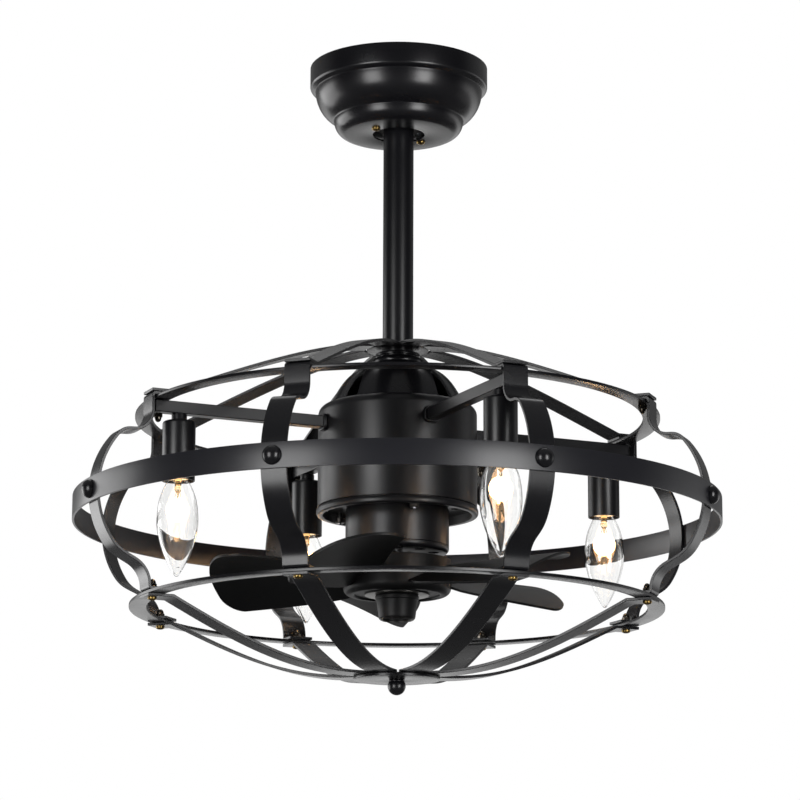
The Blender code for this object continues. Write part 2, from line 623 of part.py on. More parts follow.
def make_motor_can(stock):
    """The motor's drawn can, closed at the top, with a seat for the upper bearing."""
    top, foot, wall = CAN_TOP_Z, CAN_FOOT_Z, CAN_WALL
    seat = BEARING_RADIUS + FIT
    seat_foot = UPPER_BEARING_TOP_Z - BEARING_HEIGHT + FIT
    outline = [(BEARING_BACK_HOLE_RADIUS, top)]
    outline += quarter((CAN_RADIUS - CAN_TOP_ROUND, top - CAN_TOP_ROUND), CAN_TOP_ROUND, 90, 0, 2)
    outline += [(CAN_RADIUS, foot), (CAN_RADIUS - wall, foot), (CAN_RADIUS - wall, top - CAN_TOP_ROUND),
                (CAN_RADIUS - CAN_TOP_ROUND, top - wall), (seat + BEARING_SEAT_WALL, top - wall),
                (seat + BEARING_SEAT_WALL, seat_foot), (seat, seat_foot), (seat, top - wall),
                (BEARING_BACK_HOLE_RADIUS, top - wall)]
    return turned("motor_can", outline, DRUM_SIDES, stock["powder_coat"])


def make_motor_end_plate(stock):
    """The motor's lower cover: a rounded rim, a spigot in the can, a bearing seat and vent holes."""
    top, foot, wall = END_PLATE_TOP_Z, MOTOR_FOOT_Z, END_PLATE_WALL
    spigot = CAN_RADIUS - CAN_WALL - FIT
    seat = BEARING_RADIUS + FIT
    seat_top = LOWER_BEARING_FOOT_Z + BEARING_HEIGHT - FIT
    rim = quarter((CAN_RADIUS - END_PLATE_ROUND, foot + END_PLATE_ROUND), END_PLATE_ROUND, -90, 0, 2)
    outline = [(BEARING_BACK_HOLE_RADIUS, foot)] + rim
    outline += [(CAN_RADIUS, top), (spigot, top), (spigot, top + END_PLATE_SPIGOT),
                (spigot - CAN_WALL, top + END_PLATE_SPIGOT), (spigot - CAN_WALL, foot + END_PLATE_ROUND),
                (CAN_RADIUS - END_PLATE_ROUND, foot + wall), (seat + BEARING_SEAT_WALL, foot + wall),
                (seat + BEARING_SEAT_WALL, seat_top), (seat, seat_top), (seat, foot + wall),
                (BEARING_BACK_HOLE_RADIUS, foot + wall)]
    plate = turned("motor_end_plate", outline, DRUM_SIDES, stock["powder_coat"])
    vent = rod_outline(VENT_RADIUS, foot + wall + OVERRUN, foot - OVERRUN)
    for index in range(VENTS):
        turn = math.radians(FIRST_VENT_HEADING - 90 + 360 / VENTS * index)
        place = (VENT_CIRCLE_RADIUS * math.cos(turn), VENT_CIRCLE_RADIUS * math.sin(turn), 0)
        combine(plate, turned_at("tool_vent", vent, LAMP_SIDES, stock["powder_coat"], place, closed=False))
    return plate


def make_motor_inside(stock):
    """The stator in the can, the rotor core on the shaft, and the two bearings."""
    stator_top = UPPER_BEARING_TOP_Z - BEARING_HEIGHT - 4 * FIT
    stator_foot = stator_top - STATOR_HEIGHT
    stator = ring_outline(STATOR_BORE_RADIUS, CAN_RADIUS - CAN_WALL - FIT, stator_top, stator_foot)
    turned("motor_stator", stator, DRUM_SIDES, stock["core_steel"])
    bore = SHAFT_RADIUS + FIT
    core = ring_outline(bore, STATOR_BORE_RADIUS - AIR_GAP, stator_top, stator_foot)
    turned("motor_rotor", core, TUBE_SIDES, stock["core_steel"])
    upper = ring_outline(bore, BEARING_RADIUS, UPPER_BEARING_TOP_Z, UPPER_BEARING_TOP_Z - BEARING_HEIGHT)
    turned("upper_bearing", upper, TUBE_SIDES, stock["bearing_steel"])
    lower = ring_outline(bore, BEARING_RADIUS, LOWER_BEARING_FOOT_Z + BEARING_HEIGHT, LOWER_BEARING_FOOT_Z)
    turned("lower_bearing", lower, TUBE_SIDES, stock["bearing_steel"])
    shaft = rod_outline(SHAFT_RADIUS, UPPER_BEARING_TOP_Z - FIT, SHAFT_FOOT_Z)
    turned("motor_shaft", shaft, TUBE_SIDES, stock["bearing_steel"], closed=False)


def hub_outline():
    """The moulded hub: an open cup with a boss on the shaft and a shallow ring sunk in its face."""
    top, foot, wall = HUB_TOP_Z, HUB_FOOT_Z, HUB_WALL
    floor = foot + wall
    bore = SHAFT_RADIUS + FIT
    sunk = foot + HUB_RECESS_DEPTH
    outline = [(HUB_RADIUS - wall, top), (HUB_RADIUS, top)]
    outline += quarter((HUB_RADIUS - HUB_ROUND, foot + HUB_ROUND), HUB_ROUND, 0, -90)
    outline += [(HUB_RECESS_OUTER_RADIUS, foot), (HUB_RECESS_OUTER_RADIUS, sunk),
                (HUB_RECESS_INNER_RADIUS, sunk), (HUB_RECESS_INNER_RADIUS, foot), (bore, foot),
                (bore, top - wall), (HUB_BOSS_RADIUS, top - wall), (HUB_BOSS_RADIUS, floor),
                (HUB_RADIUS - HUB_ROUND, floor), (HUB_RADIUS - wall, foot + HUB_ROUND)]
    return outline


def blade_edge(side, share):
    """How far a blade reaches to one side, from its root to its tip."""
    root = BLADE_ROOT_RAISED_WIDTH if side > 0 else BLADE_ROOT_LOW_WIDTH
    swell = share if side > 0 else share ** 0.55
    return side * (root + (BLADE_HALF_WIDTH - root) * swell)


def blade_point(across, along):
    """A point of a blade's middle surface. Across runs from -1 at the low edge to 1, along from the root."""
    seat = HUB_RADIUS - HUB_WALL / 2
    corner = max(0.0, abs(across) * BLADE_HALF_WIDTH - (BLADE_HALF_WIDTH - BLADE_CORNER))
    tip = BLADE_TIP_RADIUS - BLADE_TIP_BOW * across ** 2
    tip -= BLADE_CORNER - math.sqrt(BLADE_CORNER ** 2 - corner ** 2)
    side = abs(across) * blade_edge(1 if across > 0 else -1, along)
    root_side = abs(across) * blade_edge(1 if across > 0 else -1, 0.0)
    root = math.sqrt(seat ** 2 - root_side ** 2)
    height = BLADE_ABOVE_HUB_FOOT + math.tan(math.radians(BLADE_PITCH)) * side
    height -= BLADE_CAMBER * (side / BLADE_HALF_WIDTH) ** 2
    return Vector((root + (tip - root) * along, side, HUB_FOOT_Z + height))


def make_blade(name, material):
    """One moulded blade: pitched, cambered, swept on its raised edge, and rounded at the tip."""
    bm = bmesh.new()
    grids = []
    for lift in (BLADE_THICKNESS / 2, -BLADE_THICKNESS / 2):
        rows = []
        for along in BLADE_ALONG_SHARES:
            row = []
            for across in BLADE_ACROSS_SHARES:
                point = blade_point(across, along)
                row.append(bm.verts.new(point + Vector((0, 0, lift))))
            rows.append(row)
        grids.append(rows)
    last_row, last_column = len(BLADE_ALONG_SHARES) - 1, len(BLADE_ACROSS_SHARES) - 1
    for rows in grids:
        for i in range(last_row):
            for j in range(last_column):
                bm.faces.new((rows[i][j], rows[i + 1][j], rows[i + 1][j + 1], rows[i][j + 1]))
    border = [(0, j) for j in range(last_column)] + [(i, last_column) for i in range(last_row)]
    border += [(last_row, j) for j in range(last_column, 0, -1)] + [(i, 0) for i in range(last_row, 0, -1)]
    for (i, j), (k, m) in zip(border, border[1:] + border[:1]):
        bm.faces.new((grids[0][i][j], grids[0][k][m], grids[1][k][m], grids[1][i][j]))
    return add_piece(name, bm, material)


def make_blade_set(stock):
    """The rotor moulding: five blades in one piece with their hub."""
    hub = turned("blade_set", hub_outline(), DRUM_SIDES, stock["moulded_black"])
    for index in range(BLADES):
        blade = make_blade("tool_blade", stock["moulded_black"])
        face_heading(blade, BLADE_HEADING + 360 / BLADES * index)
        combine(hub, blade, "UNION")
    return hub


def make_spinner_knob(stock):
    """The screw-on knob under the hub: a collar, a taper and a ring sunk in its end."""
    top, foot = KNOB_TOP_Z, KNOB_FOOT_Z
    bore = SHAFT_RADIUS + FIT
    collar_foot = top - KNOB_COLLAR_HEIGHT
    edge = KNOB_RING_DEPTH
    waist = KNOB_RADIUS - 2 * edge
    outline = [(bore, top), (KNOB_RADIUS - edge, top), (KNOB_RADIUS, top - edge), (KNOB_RADIUS, collar_foot),
               (waist, collar_foot - edge), (KNOB_FOOT_RADIUS + edge, foot + edge), (KNOB_FOOT_RADIUS, foot),
               (KNOB_FOOT_RADIUS - 3 * edge, foot), (KNOB_FOOT_RADIUS - 3 * edge, foot + edge),
               (0, foot + edge), (0, top - KNOB_BORE_DEPTH), (bore, top - KNOB_BORE_DEPTH)]
    middle = outline.index((0, foot + edge))
    opened = outline[middle + 1:] + outline[:middle + 1]
    return turned("spinner_knob", opened, TUBE_SIDES, stock["moulded_black"], closed=False)


def flats_start():
    """The start angle that puts the middle of a facet of a ring at every rib."""
    return FIRST_RIB_HEADING - 90 - 180 / RING_SIDES


def make_rings(stock):
    """The two flat rings of the cage."""
    black = stock["powder_coat"]
    upper = ring_outline(UPPER_RING_RADIUS - RING_WIDTH, UPPER_RING_RADIUS, UPPER_RING_TOP_Z,
                         UPPER_RING_TOP_Z - BAR_THICKNESS)
    turned("upper_ring", upper, RING_SIDES, black, flats=True, start_deg=flats_start())
    lower = ring_outline(LOWER_RING_RADIUS - RING_WIDTH, LOWER_RING_RADIUS, LOWER_RING_TOP_Z,
                         LOWER_RING_TOP_Z - BAR_THICKNESS)
    turned("lower_ring", lower, RING_SIDES, black, flats=True, start_deg=flats_start())


def make_equator_band(stock):
    """The upright band round the cage's middle, with a domed rivet at every rib."""
    outline = ring_outline(BAND_RADIUS - BAND_THICKNESS, BAND_RADIUS, EQUATOR_Z + BAND_HEIGHT / 2,
                           EQUATOR_Z - BAND_HEIGHT / 2)
    band = turned("equator_band", outline, RING_SIDES, stock["powder_coat"], flats=True,
                  start_deg=flats_start())
    dome = [(0, -BAND_THICKNESS / 2), (RIVET_RADIUS, -BAND_THICKNESS / 2)]
    dome += polar((0, 0), (RIVET_RADIUS, RIVET_HEIGHT), 0, 90, 3)
    for index in range(RIBS):
        turn = Matrix.Translation((BAND_RADIUS, 0, EQUATOR_Z)) @ lying_along_x()
        rivet = turned_at("tool_rivet", dome, LAMP_SIDES, stock["powder_coat"], (0, 0, 0), turn, closed=False)
        face_heading(rivet, FIRST_RIB_HEADING + 360 / RIBS * index)
        combine(band, rivet, "UNION")
    return band


def rib_half(flange_z, side):
    """One half of a rib's centre line, from its flange to the belly. Side is 1 above the equator."""
    neck_z = EQUATOR_Z + side * RIB_NECK_HALF_HEIGHT
    bend_centre = (RIB_NECK_RADIUS - RIB_BEND, flange_z - side * RIB_BEND)
    line = [(FLANGE_END_RADIUS - FLANGE_LENGTH, flange_z)]
    line += quarter(bend_centre, RIB_BEND, 90 * side, 0, 2)
    neck_centre = (RIB_NECK_RADIUS + RIB_NECK_BEND, neck_z)
    line += quarter(neck_centre, RIB_NECK_BEND, 180, 180 + 90 * side, 3)
    angle = math.radians(RIB_BELLY_ANGLE)
    belly_centre = (RIB_BELLY_REACH - RIB_BELLY_RADIUS, EQUATOR_Z)
    shoulder = (belly_centre[0] + RIB_BELLY_RADIUS * math.cos(angle),
                belly_centre[1] + side * RIB_BELLY_RADIUS * math.sin(angle))
    shelf = line[-1]
    corner = (shoulder[0] - abs(shelf[1] - shoulder[1]) * math.tan(angle), shelf[1])
    line += bezier((shelf, corner, shoulder), 2)
    belly = quarter(belly_centre, RIB_BELLY_RADIUS, side * RIB_BELLY_ANGLE, 0, 3)
    return line + belly


def make_ribs(stock):
    """The eight upright bars: a flange on each ring, an S-bend at each shoulder, and a round belly."""
    line = rib_half(UPPER_FLANGE_Z, 1) + rib_half(LOWER_FLANGE_Z, -1)[-2::-1]
    return copies_round("rib", bent_bar("rib", line, stock["powder_coat"]), RIBS, FIRST_RIB_HEADING)


def sloped(point, slope_deg, length):
    """A point beyond another, down a slope."""
    angle = math.radians(slope_deg)
    return (point[0] + length * math.cos(angle), point[1] - length * math.sin(angle))


def make_top_straps(stock):
    """The eight bars of the dome, from the centre ring down to a flange over each rib."""
    start = (CENTRE_RING_RADIUS + FIT, DOME_TOP_Z - BAR_THICKNESS / 2)
    end = (FLANGE_END_RADIUS - FLANGE_LENGTH, TOP_STRAP_FLANGE_Z)
    span = end[0] - start[0]
    leaving = sloped(start, DOME_HUB_SLOPE, span * DOME_HANDLE_SHARES[0])
    arriving = sloped(end, DOME_RIM_SLOPE, -span * DOME_HANDLE_SHARES[1])
    line = [start] + bezier((start, leaving, arriving, end), 6)
    line += [end, (FLANGE_END_RADIUS, TOP_STRAP_FLANGE_Z)]
    strap = bent_bar("top_strap", line, stock["powder_coat"])
    return copies_round("top_strap", strap, RIBS, FIRST_RIB_HEADING)


def make_centre_ring(stock):
    """The ring round the rod that the dome's bars meet."""
    outline = ring_outline(ROD_RADIUS + FIT, CENTRE_RING_RADIUS, DOME_TOP_Z, CENTRE_RING_FOOT_Z)
    return turned("centre_ring", outline, TUBE_SIDES, stock["powder_coat"], flats=True,
                  start_deg=FIRST_RIB_HEADING - 90 - 180 / TUBE_SIDES)


def make_bottom_straps(stock):
    """The eight bars of the basket, from a flange under each rib down to the bottom disc."""
    seat_z = DISC_TOP_Z + FIT + BAR_THICKNESS / 2
    start = (BASKET_FLAT_RADIUS, seat_z)
    end = (BASKET_RIM_RADIUS, BOTTOM_STRAP_FLANGE_Z)
    span = end[0] - start[0]
    leaving = sloped(start, 0, span * BASKET_HANDLE_SHARES[0])
    arriving = sloped(end, -BASKET_RIM_SLOPE, -span * BASKET_HANDLE_SHARES[1])
    line = [(BASKET_INNER_RADIUS, seat_z), start] + bezier((start, leaving, arriving, end), 7)
    line += [end, (FLANGE_END_RADIUS, BOTTOM_STRAP_FLANGE_Z)]
    strap = bent_bar("bottom_strap", line, stock["powder_coat"])
    return copies_round("bottom_strap", strap, RIBS, FIRST_RIB_HEADING)


def make_bottom_disc_and_finial(stock):
    """The disc that the basket's bars lie on, and the ball finial screwed into it."""
    black = stock["powder_coat"]
    disc = ring_outline(FINIAL_STUD_RADIUS + FIT, DISC_RADIUS, DISC_TOP_Z, DISC_FOOT_Z)
    turned("bottom_disc", disc, DRUM_SIDES, black)
    shoulder = DISC_FOOT_Z - FIT
    ball_z = DISC_FOOT_Z - FINIAL_HEIGHT + FINIAL_BALL_RADIUS
    meet_deg = math.degrees(math.acos(FINIAL_NECK_RADIUS / FINIAL_BALL_RADIUS)) + 12
    neck = FINIAL_BALL_RADIUS * math.cos(math.radians(meet_deg))
    outline = [(0, DISC_TOP_Z), (FINIAL_STUD_RADIUS, DISC_TOP_Z), (FINIAL_STUD_RADIUS, shoulder),
               (FINIAL_NECK_RADIUS, shoulder), (FINIAL_NECK_RADIUS, shoulder - FINIAL_STUD_RADIUS / 3),
               (neck, ball_z + FINIAL_BALL_RADIUS * math.sin(math.radians(meet_deg)) + FIT)]
    outline += quarter((0, ball_z), FINIAL_BALL_RADIUS, meet_deg - 8, -70, 4)
    outline += [(0, ball_z - FINIAL_BALL_RADIUS)]
    turned("finial", outline, LAMP_SIDES, black, closed=False)


def make_light_arms(stock):
    """The four square tubes from the drum to the upper ring, each with a collar at the drum."""
    near = DRUM_RADIUS + FIT
    bore = ARM_HALF_SIZE - ARM_WALL
    outline = [(bore, near), (ARM_COLLAR_HALF_SIZE, near), (ARM_COLLAR_HALF_SIZE, near + ARM_COLLAR_LENGTH),
               (ARM_HALF_SIZE, near + ARM_COLLAR_LENGTH), (ARM_HALF_SIZE, ARM_END_RADIUS),
               (bore, ARM_END_RADIUS)]
    arm = turned_at("light_arm", outline, 4, stock["powder_coat"], (0, 0, ARM_Z), lying_along_x(), flats=True,
                    start_deg=45.0)
    return copies_round("light_arm", arm, LAMPS, FIRST_RIB_HEADING)


def carried_round(name, first, count, first_heading, radius):
    """Set copies of a piece turned on its own upright axis round the fan, at a radius."""
    pieces = copies_round(name, first, count, first_heading)
    for index, piece in enumerate(pieces):
        angle = math.radians(first_heading + 360 / count * index - 90)
        piece.location = (radius * math.cos(angle), radius * math.sin(angle), 0)
    return pieces


def make_sockets(stock):
    """The four lamp holders: a neck under the arm, and a cup with a bore for the bulb's cap."""
    top, foot = SOCKET_TOP_Z, SOCKET_FOOT_Z
    cup_top = top - SOCKET_NECK_HEIGHT
    mouth = SOCKET_RADIUS - SOCKET_WALL
    bore = BULB_CAP_RADIUS + FIT
    mouth_top = foot + SOCKET_MOUTH_DEPTH
    bore_top = foot + BULB_CAP_LENGTH + FIT
    outline = [(0, top), (SOCKET_NECK_RADIUS, top), (SOCKET_NECK_RADIUS, cup_top)]
    outline += quarter((SOCKET_RADIUS - SOCKET_ROUND, cup_top - SOCKET_ROUND), SOCKET_ROUND, 90, 0, 2)
    outline += [(SOCKET_RADIUS, foot), (mouth, foot), (mouth, mouth_top), (bore, mouth_top), (bore, bore_top),
                (0, bore_top)]
    socket = turned("light_socket", outline, LAMP_SIDES, stock["lamp_black"], closed=False)
    return carried_round("light_socket", socket, LAMPS, FIRST_RIB_HEADING, LAMP_RADIUS)


def make_bulbs(stock):
    """The four clear candle bulbs, each with its cap up in the holder."""
    mouth_z = SOCKET_FOOT_Z
    cap_foot = mouth_z + SOCKET_MOUTH_DEPTH
    outline = [(0, mouth_z + BULB_CAP_LENGTH), (BULB_CAP_RADIUS, mouth_z + BULB_CAP_LENGTH),
               (BULB_CAP_RADIUS, cap_foot), (BULB_RADIUS * BULB_NECK_SHARE, mouth_z)]
    outline += [(BULB_RADIUS * wide, mouth_z - BULB_LENGTH * deep) for deep, wide in BULB_OUTLINE_SHARES]
    outline += [(0, mouth_z - BULB_LENGTH)]
    bulb = turned("light_bulb", outline, LAMP_SIDES, stock["clear_glass"], closed=False)
    return carried_round("light_bulb", bulb, LAMPS, FIRST_RIB_HEADING, LAMP_RADIUS)


# The spider's flare from its neck to its foot, as shares of its reach and its drop
FLARE_SHARES = ((0.0, 0.0), (0.2, 0.075), (0.48, 0.27), (0.75, 0.54), (0.88, 0.73), (1.0, 1.0))
# Where a blade's stations lie from root to tip, and from its low edge to its raised edge
BLADE_ALONG_SHARES = (0.0, 0.3, 0.65, 0.88, 1.0)
BLADE_ACROSS_SHARES = (-1.0, -0.92, -0.75, -0.3, 0.3, 0.75, 0.92, 1.0)


def hang_under(parent_name, depth, pieces):
    """Parent pieces to an empty on their joint's axis, without moving them."""
    empty = bpy.data.objects.new(parent_name, None)
    empty.location = (0, 0, depth)
    bpy.context.collection.objects.link(empty)
    bpy.context.view_layer.update()
    for piece in pieces:
        piece.parent = empty
        piece.matrix_parent_inverse = empty.matrix_world.inverted()
    return empty


def group_bodies():
    """Gather the pieces that swing with the ball and those that spin with the shaft."""
    still = ("hanger_bracket", "canopy")
    spinning = ("motor_shaft", "motor_rotor", "blade_set", "spinner_knob")
    pieces = [item for item in bpy.data.objects if item.type == "MESH" and not item.hide_render]
    hang_under("hanging_fan", BALL_Z, [item for item in pieces if item.name not in still + spinning])
    hang_under("rotor", HUB_FOOT_Z, [item for item in pieces if item.name in spinning])


def main():
    """Build the fan from the ceiling down, then the rotor, the cage and the lamps."""
    clear_scene()
    stock = make_surfaces()
    make_canopy(stock)
    make_hanger_bracket(stock)
    make_hanger_ball(stock)
    make_hanger_pin(stock)
    make_downrod(stock)
    make_coupling_collar(stock)
    make_yoke_spider(stock)
    make_drum_shell(stock)
    make_drum_base(stock)
    make_motor_can(stock)
    make_motor_end_plate(stock)
    make_motor_inside(stock)
    make_blade_set(stock)
    make_spinner_knob(stock)
    make_rings(stock)
    make_equator_band(stock)
    make_ribs(stock)
    make_top_straps(stock)
    make_centre_ring(stock)
    make_bottom_straps(stock)
    make_bottom_disc_and_finial(stock)
    make_light_arms(stock)
    make_sockets(stock)
    make_bulbs(stock)
    group_bodies()


main()
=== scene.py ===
"""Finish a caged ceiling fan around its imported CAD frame.

The fan is black powder-coated steel: a canopy on the ceiling, a down rod, a drum with a motor under it,
a cage of flat bars, and four candle lamps on square arms. Places and main sizes come from the frame.
"""

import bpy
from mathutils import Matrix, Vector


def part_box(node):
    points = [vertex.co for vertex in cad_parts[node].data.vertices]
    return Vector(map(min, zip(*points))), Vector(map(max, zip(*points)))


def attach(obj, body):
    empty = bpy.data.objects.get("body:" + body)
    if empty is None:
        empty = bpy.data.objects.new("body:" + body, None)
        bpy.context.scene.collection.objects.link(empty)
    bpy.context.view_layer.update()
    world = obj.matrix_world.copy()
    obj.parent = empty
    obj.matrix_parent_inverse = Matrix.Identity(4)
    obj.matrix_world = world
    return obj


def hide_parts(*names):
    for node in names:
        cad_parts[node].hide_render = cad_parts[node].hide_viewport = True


bl_info = {
    "name": "Caged ceiling fan finish",
    "version": (1, 0, 0),
    "blender": (4, 5, 0),
    "location": "View3D > Sidebar > Fan",
    "description": "Builds the finished pieces, materials and studio of a caged ceiling fan",
    "category": "Object",
}

import math

import bmesh
import bpy
from bpy.props import FloatProperty, FloatVectorProperty, IntProperty, PointerProperty
from mathutils import Matrix, Vector

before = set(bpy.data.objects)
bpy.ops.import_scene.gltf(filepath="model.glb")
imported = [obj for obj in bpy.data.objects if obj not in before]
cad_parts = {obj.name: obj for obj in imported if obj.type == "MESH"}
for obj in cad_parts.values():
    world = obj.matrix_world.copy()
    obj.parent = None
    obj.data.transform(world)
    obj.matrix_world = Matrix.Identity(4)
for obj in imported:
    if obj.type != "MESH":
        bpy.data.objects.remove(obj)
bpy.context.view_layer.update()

# Places and sizes that the frame gives
CANOPY_LOW, CANOPY_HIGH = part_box("canopy")
ROD_LOW, ROD_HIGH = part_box("downrod")
COLLAR_LOW, COLLAR_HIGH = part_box("coupling_collar")
SPIDER_LOW, SPIDER_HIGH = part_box("yoke_spider")
DRUM_LOW, DRUM_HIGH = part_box("drum_shell")
BASE_LOW, BASE_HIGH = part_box("drum_base")
CAN_LOW, CAN_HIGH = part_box("motor_can")
END_LOW, END_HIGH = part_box("motor_end_plate")
KNOB_LOW, KNOB_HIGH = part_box("spinner_knob")
UPPER_LOW, UPPER_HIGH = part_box("upper_ring")
LOWER_LOW, LOWER_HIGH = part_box("lower_ring")
BAND_LOW, BAND_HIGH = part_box("equator_band")
CENTRE_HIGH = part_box("centre_ring")[1]
DISC_LOW, DISC_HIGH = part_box("bottom_disc")
FINIAL_LOW, FINIAL_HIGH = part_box("finial")
ARM_LOW, ARM_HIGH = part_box("light_arm_1")
SOCKET_LOW, SOCKET_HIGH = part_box("light_socket_1")
BULB_LOW, BULB_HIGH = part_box("light_bulb_1")

BAND_MIDDLE = (BAND_LOW.z + BAND_HIGH.z) / 2

FRONT_HEADING = -90.0  # where the front lies, in degrees from +X
GAP = 0.0003           # between pieces that sit on each other
SHEET = 0.0015         # the drum's and the motor's sheet
FINE_GRAIN = 0.00003   # height of a coat's grain
OVERRUN = 0.010        # of a cutter past what it cuts
FAN_MIDDLE = Vector((0, 0, -0.40))

# Screw heads, as radius and height
BRASS_SCREW, COAT_SCREW, SMALL_SCREW = (0.0038, 0.0024), (0.0036, 0.0022), (0.0022, 0.0014)


def length(label, description, default):
    """A length that a user may set."""
    return FloatProperty(name=label, description=description, default=default, precision=5, unit="LENGTH")


def angle(label, description, default_deg):
    """An angle that a user may set."""
    return FloatProperty(name=label, description=description, default=math.radians(default_deg),
                         subtype="ANGLE")


def factor(label, description, default, most=1.0):
    """A plain number that a user may set."""
    return FloatProperty(name=label, description=description, default=default, min=0.0, max=most)


def count(label, description, default):
    """A whole number that a user may set."""
    return IntProperty(name=label, description=description, default=default, min=1)


def colour(label, description, default):
    """A colour that a user may set."""
    return FloatVectorProperty(name=label, description=description, default=default, size=3, min=0.0,
                               max=1.0, subtype="COLOR")


class FanFinishColours(bpy.types.PropertyGroup):
    """The colours and gloss of the fan's finishes."""
    coat: colour("Powder coat", "Black powder coat on the steel pieces", (0.0058, 0.0058, 0.0072))
    coat_roughness: factor("Coat roughness", "How matt the powder coat is", 0.26)
    moulding: colour("Moulding", "Black moulding of the blades and knob", (0.0042, 0.0042, 0.0046))
    moulding_roughness: factor("Moulding roughness", "How matt the moulding is", 0.46)
    brass: colour("Brass", "Brass of the screws and of the bulbs' caps", (0.30, 0.20, 0.065))
    bronze: colour("Bronze", "Darkened plating of the dome nuts", (0.13, 0.115, 0.095))
    nickel: colour("Nickel", "Plating of the washer, the trim, the small fasteners and the leads",
                   (0.17, 0.165, 0.155))
    zinc: colour("Zinc", "Zinc plating of the hanger bracket", (0.55, 0.56, 0.58))
    glass: colour("Glass", "Glass of the bulbs", (0.99, 0.99, 0.985))
    glow: colour("Glow", "Colour of the lit filament", (1.0, 0.62, 0.26))
    glow_strength: factor("Glow strength", "How strongly the filament shines", 3.6, 100.0)


class FanStudioSettings(bpy.types.PropertyGroup):
    """The camera and the light."""
    camera_distance: length("Camera distance", "From the fan's axis to the camera, in plan", 2.700)
    camera_drop: length("Camera drop", "From the ceiling plane down to the camera", 0.888)
    camera_pitch: angle("Camera pitch", "How far the camera looks up", 12.27)
    camera_roll: angle("Camera roll", "How far the camera leans", 0.20)
    camera_lens: FloatProperty(name="Lens", description="Focal length in millimetres", default=142.83)
    camera_shift: FloatProperty(name="Shift", description="Sideways shift of the frame", default=0.0029)
    floor_drop: length("Floor drop", "From the ceiling plane down to the floor", 2.40)
    key_power: factor("Key power", "Watts of the front left softbox", 33.0, 1000.0)
    fill_power: factor("Fill power", "Watts of the front right softbox", 38.0, 1000.0)
    side_power: factor("Side power", "Watts of the softbox on the left", 23.0, 1000.0)
    rim_power: factor("Rim power", "Watts of the weak softbox on the right", 1.4, 1000.0)
    top_power: factor("Top power", "Watts of the softbox over the back", 9.0, 1000.0)
    lamp_power: factor("Lamp power", "Watts of each candle bulb", 0.060, 100.0)


class FanCanopySizes(bpy.types.PropertyGroup):
    """The canopy's outline and its screws."""
    band: length("Band height", "Height of the upright band at the ceiling", 0.0192)
    lip: length("Lip", "Radius of the band's rolled lower edge", 0.0030)
    step: length("Step", "Height of the step under the band", 0.0008)
    bulge: length("Bulge radius", "Largest radius of the bulge under the band", 0.0740)
    foot: length("Foot radius", "Radius where the bulge meets the foot", 0.0573)
    foot_round: length("Foot round", "Reach of the foot's rounded edge", 0.0102)
    wall: length("Wall", "Thickness of the spun sheet", 0.0015)
    hole: length("Hole radius", "Radius of the hole that the rod swings in", 0.0230)
    screw_place: length("Screw place", "Distance of each screw from the axis", 0.0284)
    screw_heading: angle("Screw heading", "Heading of the rear screw", 135.9)


class FanDropSizes(bpy.types.PropertyGroup):
    """The rod, the collar, the spider and the drum."""
    rod_bore: length("Rod bore", "Inside radius of the down rod", 0.0110)
    collar_flange: length("Collar flange", "Radius of the collar's upper flange", 0.0194)
    collar_groove: length("Collar groove", "Radius of the collar's groove", 0.0172)
    spider_neck: length("Spider neck", "Radius of the spider's neck", 0.0244)
    spider_neck_height: length("Neck height", "Height of the spider's neck", 0.0030)
    spider_shelf: length("Spider shelf", "Width of the level shelf round the neck", 0.0060)
    spider_boss: length("Spider boss", "Radius of the post inside the spider", 0.0175)
    spider_slot: length("Slot apex", "Distance of each slot's point from the axis", 0.0322)
    spider_slot_half: length("Slot half width", "Half width of a slot, past the spider's foot", 0.01288)
    spider_wall: length("Spider wall", "Wall of the spider", 0.0020)
    drum_shoulder: length("Drum shoulder", "Radius of the drum's upper edge", 0.0080)
    drum_wall: length("Drum wall", "Wall of the drum", 0.0015)
    drum_hole: length("Drum hole", "Radius of the hole in the drum's top", 0.0100)
    base_hole: length("Base hole", "Radius of the hole in the drum's base", 0.0110)
    lip_width: length("Lip width", "Width of the lip under the drum", 0.0055)
    lip_height: length("Lip height", "Height of the lip under the drum", 0.0060)


class FanMotorSizes(bpy.types.PropertyGroup):
    """The motor can and its end plate."""
    can_round: length("Can round", "Radius of the can's upper edge", 0.0030)
    wall: length("Wall", "Wall of the can", 0.0015)
    plate_wall: length("Plate wall", "Thickness of the end plate", 0.0020)
    plate_round: length("Plate round", "Radius of the end plate's edge", 0.0040)
    plate_height: length("Plate height", "Height of the end plate's rim", 0.0055)
    vent_place: length("Vent place", "Distance of the vent holes from the axis", 0.0320)
    vent_radius: length("Vent radius", "Radius of a vent hole", 0.0050)
    vents: count("Vents", "Number of vent holes", 9)
    vent_heading: angle("Vent heading", "Heading of the first vent hole", 38.0)
    shaft_hole: length("Shaft hole", "Radius of the hole for the shaft", 0.0068)
    dish: length("Dish radius", "Radius of the shallow dish round the shaft", 0.0155)
    dish_depth: length("Dish depth", "Depth of the dish round the shaft", 0.0010)
    screw_place: length("Screw place", "Distance of the dish's screws from the axis", 0.0112)


